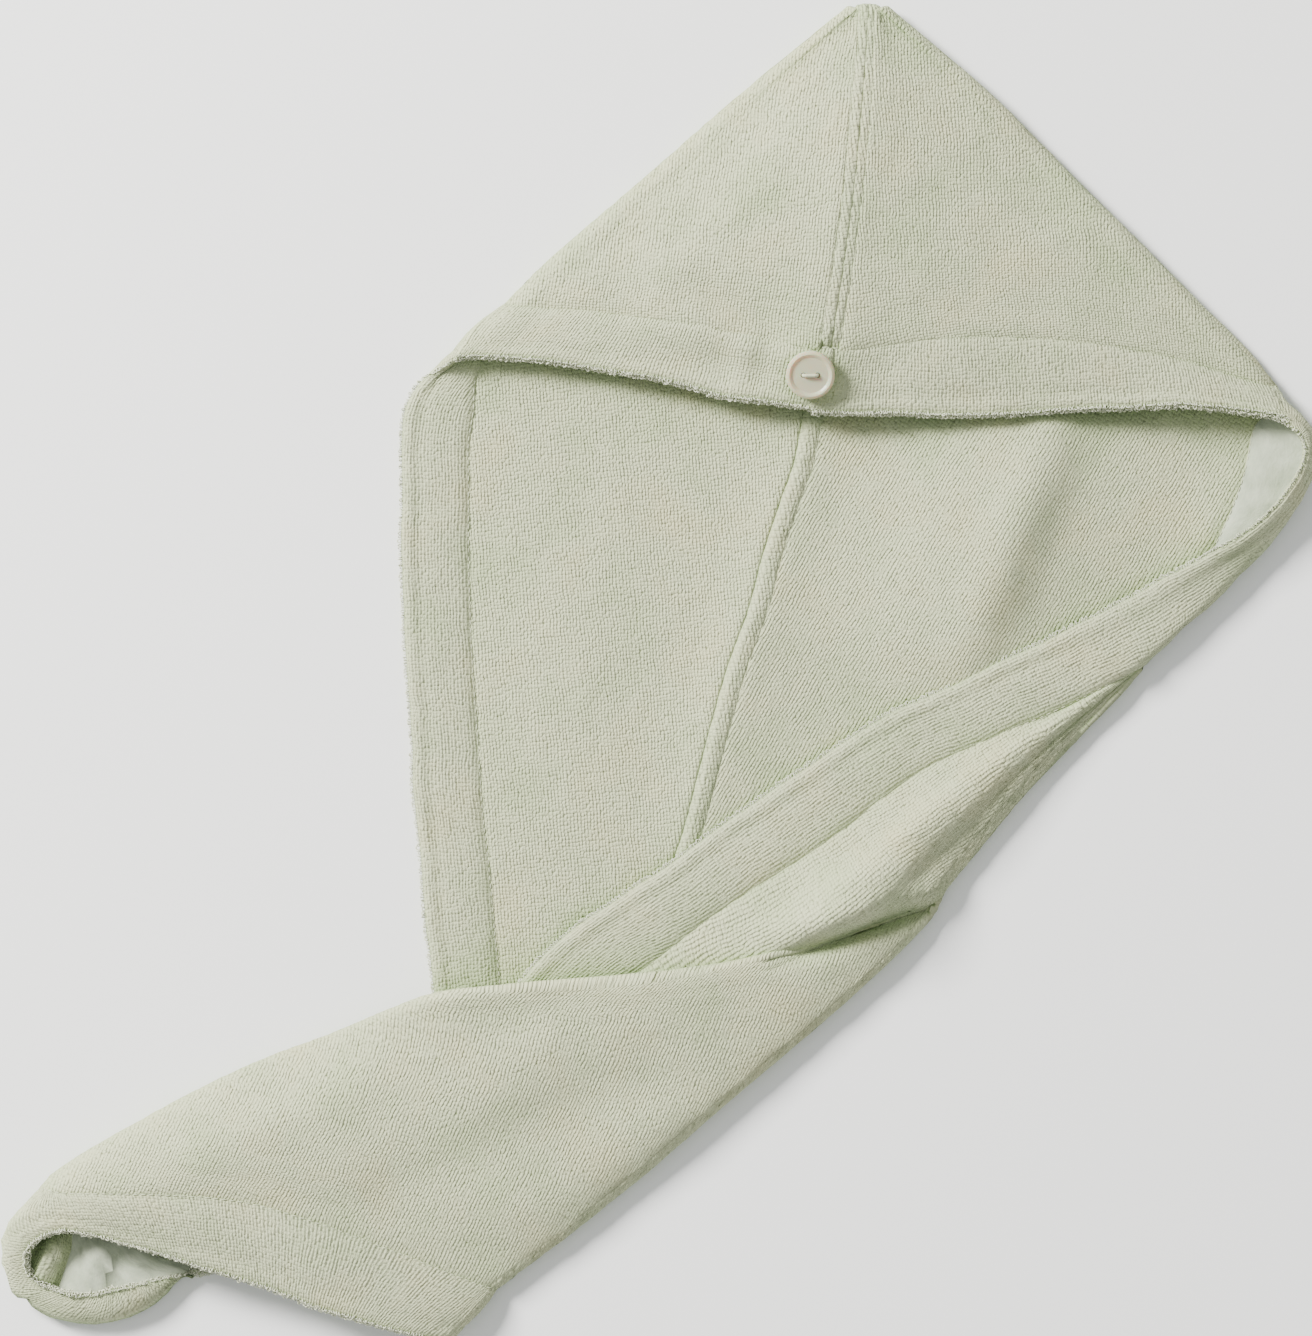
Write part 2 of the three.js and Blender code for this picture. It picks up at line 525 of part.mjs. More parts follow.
// The button: turned with a raised rim and a dished middle, then drilled with two holes
function buttonShape() {
  const radius = BUTTON_DIAMETER / 2;
  const round = BUTTON_THICKNESS / 4;
  const inside = radius - BUTTON_RIM;
  const profile = [
    [0, 0],
    [radius - 2 * round, 0],
    [radius - round / 2, round / 2],
    [radius, BUTTON_THICKNESS / 2],
    [radius - round / 2, BUTTON_THICKNESS - round / 2],
    [radius - 1.6 * round, BUTTON_THICKNESS],
    [inside + round / 2, BUTTON_THICKNESS - BUTTON_DISH / 3],
    [inside - round / 2, BUTTON_THICKNESS - BUTTON_DISH],
    [0, BUTTON_THICKNESS - BUTTON_DISH],
  ].map(([x, y]) => new THREE.Vector2(x, y));
  let body = cuttable(new THREE.LatheGeometry(profile, 32).rotateX(Math.PI / 2));
  for (const side of [-1, 1]) {
    const drill = new THREE.CylinderGeometry(BUTTON_HOLE / 2, BUTTON_HOLE / 2, 3 * BUTTON_THICKNESS, 12);
    body = body.subtract(cuttable(drill.rotateX(Math.PI / 2).translate((side * HOLE_PITCH) / 2, 0, 0)));
  }
  const cut = body.getMesh();
  const geometry = new THREE.BufferGeometry();
  geometry.setAttribute("position", new THREE.Float32BufferAttribute(cut.vertProperties, 3));
  geometry.setIndex([...cut.triVerts]);
  geometry.computeVertexNormals();
  return geometry;
}

// The thread: up through one hole, across the dish and down through the other
function threadShape() {
  const reach = HOLE_PITCH / 2;
  const top = BUTTON_THICKNESS - BUTTON_DISH + THREAD + GAP / 2;
  const corners = [[-reach, 0], [-reach, top - THREAD], [THREAD - reach, top], [reach - THREAD, top], [reach, top - THREAD], [reach, 0]];
  const points = corners.map(([x, z]) => new THREE.Vector3(x, 0, z));
  const curve = new THREE.CatmullRomCurve3(points, false, "catmullrom", 0);
  const round = new THREE.Shape().absarc(0, 0, THREAD, 0, 2 * Math.PI);
  return new THREE.ExtrudeGeometry(round, { extrudePath: curve, steps: 20, curveSegments: 4 });
}

// The button lies on the flap's hem, beside the seam, and tilts with it.
function buttonPlace() {
  const stitches = at(LEFT_FLAP[FLAP_ROW].seamX, LEFT_FLAP[FLAP_ROW].seamY, lofted(LEFT_FLAP[FLAP_ROW].crest));
  const nape = at(LEFT_LIP.seamX, LEFT_LIP.seamY, lofted(LEFT_LIP.crest));
  const slope = stitches.clone().sub(nape);
  const tilt = Math.atan2(slope.z, slope.y);
  const place = new THREE.Group();
  place.rotation.x = tilt;
  place.position.copy(between(nape, stitches, 0.62));
  place.translateX(-BUTTON_ASIDE);
  place.translateZ(HEM_CLOTH / 2 + 2 * GAP);
  return place;
}

const towel = new THREE.Group();
const left = leftRows();
const right = rightRows();
towel.add(named("left_panel", panel(left, END_ROW), clothMaterial("left cloth")));
towel.add(named("right_panel", panel(right, CORNER_ROW + 1), clothMaterial("right cloth")));
towel.add(named("left_hem", hemBand(left, leftStations(left), END_ROW), clothMaterial("left hem")));
towel.add(named("right_hem", hemBand(right, rightStations(right), CORNER_ROW + 1), clothMaterial("right hem")));
towel.add(named("centre_seam", seamStrip(seamStations(left, right)), clothMaterial("centre seam")));
towel.add(named("tail_hem", endHem(left, right), clothMaterial("tail hem")));

const fastening = buttonPlace();
const plastic = new THREE.MeshStandardMaterial({ name: "button plastic", color: "#ece6cf", roughness: 0.3, metalness: 0 });
const cotton = new THREE.MeshStandardMaterial({ name: "button thread", color: "#d8d6bf", roughness: 0.9, metalness: 0 });
fastening.add(named("button", buttonShape(), plastic));
fastening.add(named("button_thread", threadShape(), cotton));
towel.add(fastening);

// The origin is on the surface below the middle of the towel's box.
const middle = new THREE.Box3().setFromObject(towel).getCenter(new THREE.Vector3());
towel.position.set(-middle.x, -middle.y, 0);

export default towel;
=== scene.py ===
"""Hair turban towel in pale sage terry cloth, lying flat as it was put down."""

import math

import bpy
import numpy as np
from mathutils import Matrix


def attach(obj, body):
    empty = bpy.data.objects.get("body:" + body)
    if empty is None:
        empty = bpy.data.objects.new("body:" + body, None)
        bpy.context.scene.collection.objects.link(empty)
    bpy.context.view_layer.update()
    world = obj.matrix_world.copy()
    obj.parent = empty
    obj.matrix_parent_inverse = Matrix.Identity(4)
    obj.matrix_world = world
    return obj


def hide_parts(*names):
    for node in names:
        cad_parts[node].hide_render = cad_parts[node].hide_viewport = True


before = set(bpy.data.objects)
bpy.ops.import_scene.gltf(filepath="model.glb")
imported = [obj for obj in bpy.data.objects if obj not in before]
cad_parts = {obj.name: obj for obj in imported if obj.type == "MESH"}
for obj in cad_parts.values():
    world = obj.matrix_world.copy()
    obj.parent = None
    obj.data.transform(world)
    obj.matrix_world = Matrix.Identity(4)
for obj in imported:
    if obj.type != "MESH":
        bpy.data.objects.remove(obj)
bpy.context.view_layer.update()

MM = 0.001

# Sizes of the towel, in millimetres, as in the part
PLAN_WIDTH = 590
PLAN_LENGTH = 601
LOFT = 24
CLOTH = 3
HEM_CLOTH = 4.6
HEM_WIDTH = 27
FOLD_RADIUS = 3.2
SEAM_WIDTH = 10
SEAM_CLOTH = 4.2
PILE = 0.22
CLOTH_REST = CLOTH / 2
HEM_REST = HEM_CLOTH / 2
# Middle of the plan box, which the part's origin lies under
MIDDLE = (0.89, 0.39)

FLAP_ROW = 4
CORNER_ROW = 9
GROOVE_ROW = 16
STITCH_ROW = 22
END_ROW = 23
FOLD_COLUMN = 6
SEAM_COLUMN = 10

# Line of the centre seam behind, as shares of the plan
BACK_SEAM = [
    (0.661, 0.014),
    (0.657, 0.075),
    (0.652, 0.135),
    (0.644, 0.196),
    (0.631, 0.258),
    (0.622, 0.292),
    (0.617, 0.32),
    (0.611, 0.349),
    (0.604, 0.368),
    (0.597, 0.388),
    (0.588, 0.415),
    (0.578, 0.453),
    (0.561, 0.5),
    (0.543, 0.563),
    (0.528, 0.62),
    (0.518, 0.65),
    (0.512, 0.672),
    (0.505, 0.698),
    (0.494, 0.735),
    (0.479, 0.778),
    (0.447, 0.848),
    (0.392, 0.907),
    (0.338, 0.951),
    (0.307, 0.98),
]

# Flap rows: seam x and y, side fold x and y, height at the seam and half-way as shares of the loft,
# bow downwards
LEFT_FLAP = [
    (0.661, 0.011, 0.647, 0.008, 0.36, 0.33, 0),
    (0.656, 0.075, 0.566, 0.073, 0.7, 0.55, 0.002),
    (0.65, 0.135, 0.491, 0.137, 0.9, 0.7, 0.004),
    (0.642, 0.196, 0.418, 0.199, 0.95, 0.75, 0.004),
    (0.631, 0.265, 0.387, 0.229, 0.85, 0.66, -0.0055),
]
RIGHT_FLAP = [
    (0.661, 0.011, 0.675, 0.008, 0.36, 0.33, 0),
    (0.656, 0.075, 0.755, 0.075, 0.7, 0.5, 0.002),
    (0.65, 0.135, 0.817, 0.136, 0.88, 0.62, 0.002),
    (0.642, 0.196, 0.88, 0.197, 0.92, 0.66, 0),
    (0.631, 0.265, 0.971, 0.291, 0.82, 0.62, -0.022),
]

# Lower edge of the flap: seam x and y, corner x and y, height at the seam, half-way and at the corner, bow
LEFT_LIP = (0.622, 0.307, 0.35, 0.268, 0.6, 0.52, 0.42, 0)
RIGHT_LIP = (0.622, 0.307, 0.978, 0.315, 0.6, 0.56, 0.6, -0.004)

# How far the lip of each half lies above that line at its columns, in millimetres
LEFT_LIP_WAVE = (0, 2, 5, 5.5, 3.5, 1.5)
RIGHT_LIP_WAVE = (0, -1.5, 0.5, 5, 4, 2)

# Free edge of the left half on the surface, from row 5 down
LEFT_EDGE = [
    (0.328, 0.283),
    (0.314, 0.303),
    (0.31, 0.329),
    (0.31, 0.356),
    (0.31, 0.382),
    (0.31, 0.412),
    (0.311, 0.453),
    (0.313, 0.498),
    (0.317, 0.55),
    (0.321, 0.606),
    (0.326, 0.655),
    (0.329, 0.69),
    (0.333, 0.728),
    (0.337, 0.765),
    (0.34, 0.8),
    (0.33, 0.838),
    (0.3, 0.882),
    (0.256, 0.926),
    (0.232, 0.952),
]

# Right corner: the hem's edge and height, the outermost cloth and its height, the inner stitches
RIGHT_CORNER = [
    (0.991, 0.33, 0.6, 0.998, 0.328, 0.32, 0.957, 0.321),
    (0.992, 0.346, 0.58, 0.997, 0.349, 0.3, 0.95, 0.352),
    (0.982, 0.366, 0.54, 0.989, 0.371, 0.28, 0.938, 0.385),
    (0.956, 0.395, 0.48, 0.968, 0.401, 0.27, 0.923, 0.415),
    (0.914, 0.42, 0.4, 0.936, 0.433, 0.25, 0.896, 0.462),
]

# Folded-over part: the hem's edge, the fold on the right, heights of the edge, the middle and the
# shoulder, bow
FOLD_OVER = [
    (0.849, 0.457, 0.868, 0.5, 0.34, 0.4, 0.38, 0),
    (0.794, 0.485, 0.822, 0.549, 0.31, 0.45, 0.4, 0),
    (0.733, 0.512, 0.778, 0.594, 0.3, 0.55, 0.44, 0),
    (0.672, 0.542, 0.741, 0.638, 0.3, 0.72, 0.5, 0.003),
    (0.601, 0.586, 0.723, 0.659, 0.3, 0.84, 0.54, 0.004),
    (0.52, 0.644, 0.719, 0.664, 0.3, 0.78, 0.5, 0.012),
    (0.41, 0.722, 0.716, 0.67, 0.3, 0.4, 0.36, 0.018),
]

# Places of the folded-over hem's stitches in its last rows, where the fold lies far to the side
FOLDED_STITCHES = {14: (0.629, 0.63), 15: (0.55, 0.68), 16: (0.466, 0.738)}

# Tail: the tucked hem's edge and height, the left side and height, the right fold, height half-way, bow
TAIL = [
    (0.366, 0.79, 0.32, 0.335, 0.744, 0.54, 0.708, 0.685, 0.7, 0.016),
    (0.316, 0.823, 0.32, 0.302, 0.755, 0.5, 0.64, 0.75, 0.78, 0.004),
    (0.29, 0.843, 0.16, 0.256, 0.774, 0.34, 0.556, 0.82, 0.8, 0),
    (0.232, 0.868, 0.1, 0.19, 0.799, 0.28, 0.488, 0.878, 0.8, -0.002),
    (0.156, 0.907, 0.1, 0.112, 0.838, 0.34, 0.432, 0.922, 0.82, -0.006),
    (0.13, 0.945, 0.1, 0.034, 0.887, 0.38, 0.378, 0.963, 0.86, -0.025),
    (0.155, 0.958, 0.1, 0.005, 0.934, 0.4, 0.348, 0.993, 0.8, -0.004),
]


def at(x, y, z):
    """A point in millimetres from shares of the plan and a height."""
    return np.array([(x - 0.5) * PLAN_WIDTH - MIDDLE[0], (0.5 - y) * PLAN_LENGTH - MIDDLE[1], z])


def with_height(point, z):
    return np.array([point[0], point[1], z])


def towards(start, end, distance):
    way = np.array([end[0] - start[0], end[1] - start[1], 0.0])
    return start + way / np.linalg.norm(way) * distance


def between(start, end, share):
    return start + (end - start) * share


def lofted(share):
    return max(share * LOFT, CLOTH_REST)


def apart(start, end):
    return float(np.linalg.norm(end - start))


def humped(start, end, middle, share):
    return math.sin(math.pi * share) ** 2 * (middle - (start + end) / 2)


def flat_columns(start, seam):
    return [between(start, seam, share) for share in (0.25, 0.5, 0.75, 1)]


def lying_columns(fold, seam):
    turn = with_height(towards(fold, seam, 1.4 * FOLD_RADIUS), CLOTH_REST)
    return [turn, between(turn, seam, 0.34), between(turn, seam, 0.67), seam]


def back_seam_edge(row, side):
    reach = 0.7 if row == 0 else 1
    return at(*BACK_SEAM[row], CLOTH_REST) + np.array([side * reach * SEAM_WIDTH / 2, 0, 0])


def flap_row(section, row, side):
    seam_x, seam_y, fold_x, fold_y, crest, rise, bow = section
    reach = 0.7 if row == 0 else 1
    seam = at(seam_x, seam_y, lofted(crest)) + np.array([side * reach * SEAM_WIDTH / 2, 0, 0])
    fold = at(fold_x, fold_y, CLOTH_REST + FOLD_RADIUS)
    shoulder = towards(fold, seam, min(1.4 * FOLD_RADIUS, 0.4 * apart(fold, seam)))
    shoulder[2] = CLOTH_REST + 2 * FOLD_RADIUS
    top = []
    for share in (0, 0.25, 0.5, 0.78):
        point = between(seam, shoulder, share)
        point[2] += humped(seam[2], shoulder[2], lofted(rise), share)
        point[1] -= 4 * share * (1 - share) * bow * PLAN_LENGTH
        top.append(point)
    before = between(top[3], shoulder, 0.55)
    if row == 0:
        under = [with_height(point, CLOTH_REST) for point in flat_columns(fold, back_seam_edge(row, side))]
    else:
        under = lying_columns(fold, back_seam_edge(row, side))
    return [*top, before, shoulder, fold, *under]


def left_edge(row):
    return at(*LEFT_EDGE[row - FLAP_ROW - 1], HEM_REST)


def left_rows():
    rows = [flap_row(section, row, -1) for row, section in enumerate(LEFT_FLAP)]
    flap = rows[FLAP_ROW][:FOLD_COLUMN]
    for row in range(FLAP_ROW + 1, END_ROW + 1):
        seam = back_seam_edge(row, -1)
        edge = left_edge(row)
        width = min(HEM_WIDTH, 0.45 * apart(edge, seam)) * (0.72 if row == FLAP_ROW + 1 else 1)
        stitches = with_height(towards(edge, seam, width), CLOTH_REST)
        rows.append([*flap, stitches, *flat_columns(stitches, seam)])
    return np.array(rows)


def corner_row(section, row, flap):
    stitches = at(section[6], section[7], CLOTH_REST)
    return [*flap, stitches, *flat_columns(stitches, back_seam_edge(row, 1))]


def fold_over_row(section, row):
    edge_x, edge_y, fold_x, fold_y, edge, rise, shoulder, bow = section
    rim = at(edge_x, edge_y, lofted(edge))
    fold = at(fold_x, fold_y, CLOTH_REST + FOLD_RADIUS)
    if row in FOLDED_STITCHES:
        stitches = at(*FOLDED_STITCHES[row], rim[2])
    else:
        most = 0.96 if row == CORNER_ROW + 1 else 0.7
        stitches = towards(rim, fold, min(HEM_WIDTH, most * apart(rim, fold)))
    turn = towards(fold, rim, min(1.4 * FOLD_RADIUS, 0.3 * apart(stitches, fold)))
    turn[2] = CLOTH_REST + 2 * FOLD_RADIUS
    top = []
    for share in (0, 0.2, 0.42, 0.62, 0.82):
        point = between(stitches, turn, share)
        point[2] = rim[2] + (turn[2] - rim[2]) * share + humped(rim[2], turn[2], lofted(rise), share)
        point[1] -= 4 * share * (1 - share) * bow * PLAN_LENGTH
        top.append(point)
    return [*top, turn, fold, *lying_columns(fold, back_seam_edge(row, 1))]


def tail_row(section, row):
    edge_x, edge_y, edge, side_x, side_y, side, fold_x, fold_y, rise, bow = section
    rim = at(edge_x, edge_y, lofted(edge))
    left = at(side_x, side_y, lofted(side))
    fold = at(fold_x, fold_y, CLOTH_REST + FOLD_RADIUS)
    stitches = towards(rim, left, min(HEM_WIDTH, 0.6 * apart(rim, left)))
    under = with_height(towards(left, rim, 2 * FOLD_RADIUS), rim[2])
    over = with_height(towards(left, fold, 2 * FOLD_RADIUS), 2 * left[2] - rim[2])
    turn = with_height(towards(fold, left, 1.4 * FOLD_RADIUS), CLOTH_REST + 2 * FOLD_RADIUS)
    middle = with_height(between(over, turn, 0.45), lofted(rise))
    middle[1] -= bow * PLAN_LENGTH
    return [stitches, under, left, over, middle, turn, fold, *lying_columns(fold, back_seam_edge(row, 1))]


def right_rows():
    rows = [flap_row(section, row, 1) for row, section in enumerate(RIGHT_FLAP)]
    flap = rows[FLAP_ROW][:FOLD_COLUMN]
    folded = [fold_over_row(section, CORNER_ROW + 1 + i) for i, section in enumerate(FOLD_OVER)]
    for i, section in enumerate(RIGHT_CORNER):
        above = flap if i < 2 else folded[0][:FOLD_COLUMN]
        rows.append(corner_row(section, FLAP_ROW + 1 + i, above))
    rows += folded
    rows += [tail_row(section, GROOVE_ROW + 1 + i) for i, section in enumerate(TAIL)]
    return np.array(rows)


def spline(points, places):
    """Centripetal curves through points of shape (stops, curves, 3), read at places counted in stops."""
    points = np.asarray(points, float)
    last = len(points) - 1
    whole = np.concatenate([2 * points[:1] - points[1:2], points, 2 * points[-1:] - points[-2:-1]])
    places = np.clip(np.asarray(places, float), 0, last)
    start = np.minimum(places.astype(int), last - 1)
    share = (places - start)[:, None, None]
    p0, p1, p2, p3 = (whole[start + k] for k in range(4))
    steps = [np.sum((b - a) ** 2, -1, keepdims=True) ** 0.25 for a, b in ((p0, p1), (p1, p2), (p2, p3))]
    d1 = np.where(steps[1] < 1e-4, 1, steps[1])
    d0 = np.where(steps[0] < 1e-4, d1, steps[0])
    d2 = np.where(steps[2] < 1e-4, d1, steps[2])
    t1 = ((p1 - p0) / d0 - (p2 - p0) / (d0 + d1) + (p2 - p1) / d1) * d1
    t2 = ((p2 - p1) / d1 - (p3 - p1) / (d1 + d2) + (p3 - p2) / d2) * d1
    return p1 + t1 * share + (3 * (p2 - p1) - 2 * t1 - t2) * share**2 + (2 * (p1 - p2) + t1 + t2) * share**3


def read_cloth(rows, row_places, column_places):
    """The middle of a half's cloth at rows and columns, whole or in between."""
    across = spline(rows.transpose(1, 0, 2), column_places).transpose(1, 0, 2)
    return spline(across, row_places)


def read_points(points, places):
    return spline(np.asarray(points)[:, None, :], places)[:, 0]


def steps_between(start, end, count):
    return list(np.linspace(start, end, count + 1)[:-1])


ROW_PLACES = np.array(
    steps_between(0, FLAP_ROW, 56)
    + steps_between(FLAP_ROW, CORNER_ROW, 30)
    + steps_between(CORNER_ROW, CORNER_ROW + 1, 8)
    + steps_between(CORNER_ROW + 1, GROOVE_ROW - 1, 50)
    + steps_between(GROOVE_ROW - 1, GROOVE_ROW + 2, 36)
    + steps_between(GROOVE_ROW + 2, STITCH_ROW, 64)
    + [STITCH_ROW]
)
COLUMN_PLACES = np.array(
    steps_between(0, 4, 44) + steps_between(4, 7, 42) + steps_between(7, SEAM_COLUMN, 36) + [SEAM_COLUMN]
)


def soft_noise(points, scale, seed):
    """Smooth noise from -1 to 1 over the plan, its lumps about scale millimetres wide."""
    size = 64
    table = np.random.RandomState(seed).uniform(-1, 1, (size, size))
    place = points[..., :2] / scale + 1000
    cell = np.floor(place).astype(int)
    part = place - cell
    part = part * part * (3 - 2 * part)
    corner = [table[(cell[..., 0] + i) % size, (cell[..., 1] + j) % size] for i in (0, 1) for j in (0, 1)]
    low = corner[0] * (1 - part[..., 1]) + corner[1] * part[..., 1]
    high = corner[2] * (1 - part[..., 1]) + corner[3] * part[..., 1]
    return low * (1 - part[..., 0]) + high * part[..., 0]


# Soft creases: start x and y, end x and y as shares of the plan, width and height in millimetres,
# which layer
CREASES = [
    # broad fold in the right interior with its valley, and the cloth that climbs to the corner
    (0.79, 0.31, 0.7, 0.5, 40, 10.0, "floor"),
    (0.805, 0.318, 0.735, 0.49, 13, 5.0, "floor"),
    (0.97, 0.34, 0.9, 0.44, 14, 2.0, "floor"),
    # cloth that stands up beside the centre seam, higher on its right
    (0.613, 0.33, 0.525, 0.63, 15, 2.6, "floor"),
    (0.63, 0.35, 0.545, 0.63, 30, 2.0, "floor"),
    # crumpled cloth inside the open roll
    (0.05, 0.918, 0.024, 0.968, 3.4, 9.0, "roll"),
    (0.083, 0.922, 0.062, 0.972, 3.6, 8.0, "roll"),
    (0.066, 0.92, 0.045, 0.97, 2.2, -3.0, "roll"),
    (0.11, 0.93, 0.092, 0.968, 4, 4.0, "roll"),
    # slack of the left interior
    (0.45, 0.4, 0.43, 0.62, 30, 1.6, "floor"),
    # folds that run from the button into the left flap
    (0.6, 0.283, 0.49, 0.262, 6, -1.8, "top"),
    (0.605, 0.268, 0.5, 0.235, 7, 1.5, "top"),
    (0.605, 0.258, 0.53, 0.21, 7, -1.8, "top"),
    (0.645, 0.275, 0.7, 0.272, 8, -1.5, "top"),
    # puckers of the hem beside the button
    (0.588, 0.25, 0.574, 0.3, 6, -1.1, "top"),
    (0.56, 0.246, 0.548, 0.296, 6.5, -0.9, "top"),
    (0.572, 0.25, 0.56, 0.298, 5, 0.7, "top"),
    (0.67, 0.262, 0.672, 0.305, 7, -0.6, "top"),
    # folds along the tail
    (0.36, 0.775, 0.1, 0.885, 12, 2.6, "top"),
    (0.5, 0.8, 0.26, 0.905, 14, -2.2, "top"),
    (0.6, 0.78, 0.38, 0.92, 12, 2.0, "top"),
    (0.45, 0.735, 0.3, 0.8, 11, -1.6, "top"),
    # creases that fan out from the notch on the right
    (0.725, 0.672, 0.6, 0.716, 4, -7.5, "top"),
    (0.715, 0.66, 0.61, 0.695, 7.5, 5.0, "top"),
    (0.69, 0.655, 0.62, 0.66, 9, 2.0, "top"),
    (0.72, 0.63, 0.64, 0.64, 7, -1.6, "top"),
]


def crease_height(points, layer):
    """Height that the creases of a layer add to points."""
    total = np.zeros(points.shape[:-1])
    for x0, y0, x1, y1, width, height, where in CREASES:
        if where != layer:
            continue
        start, end = at(x0, y0, 0)[:2], at(x1, y1, 0)[:2]
        way = end - start
        offset = points[..., :2] - start
        along = offset @ way / (way @ way)
        away = np.linalg.norm(offset - np.clip(along, 0, 1)[..., None] * way, axis=-1)
        ends = np.sin(np.pi * np.clip(0.12 + 0.76 * along, 0, 1)) ** 0.7
        total += height * ends * np.exp(-((away / width) ** 2))
    return total


def soften(points, top):
    """The cloth's soft waves and creases; top is 1 on the upper layer and 0 on the floor."""
    broad, middle, fine = soft_noise(points, 38, 3), soft_noise(points, 17, 5), soft_noise(points, 8, 8)
    waves = 0.7 * broad + 0.45 * middle + 0.25 * fine
    upper = waves + crease_height(points, "top")
    lower = 0.5 + 0.5 * waves + crease_height(points, "floor")
    changed = points.copy()
    changed[..., 2] += lower + (upper - lower) * top
    return changed


def unit(ways):
    """Ways of length 1; one without a length stays 0."""
    return ways / np.maximum(np.linalg.norm(ways, axis=-1, keepdims=True), 1e-9)


def new_piece(name, vertices, faces, material):
    """A smooth mesh of the towel."""
    mesh = bpy.data.meshes.new(name)
    mesh.from_pydata(vertices, [], faces)
    mesh.polygons.foreach_set("use_smooth", [True] * len(mesh.polygons))
    mesh.update()
    piece = bpy.data.objects.new(name, mesh)
    bpy.context.scene.collection.objects.link(piece)
    piece.data.materials.append(material)
    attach(piece, "root")
    return piece


def wall_ways(grid, cells):
    """Each point's normal, the way out of the kept cells at their borders, and the points in use."""
    a, b, c, d = cells[:-1, :-1], cells[:-1, 1:], cells[1:, :-1], cells[1:, 1:]

    def beside(joined, shift, axis):
        return np.where(joined[..., None], np.roll(grid, shift, axis), grid)

    along = beside(c | d, -1, 0) - beside(a | b, 1, 0)
    across = beside(b | d, -1, 1) - beside(a | c, 1, 1)
    outward = np.zeros_like(grid)
    for joined, inner in ((a | b, -along), (c | d, along), (a | c, -across), (b | d, across)):
        outward += np.where(joined[..., None], 0, unit(inner))
    return unit(np.cross(along, across)), unit(outward), a | b | c | d


# Steps of the round along a cut edge, between the upper and the lower face
RIM_STEPS = 3


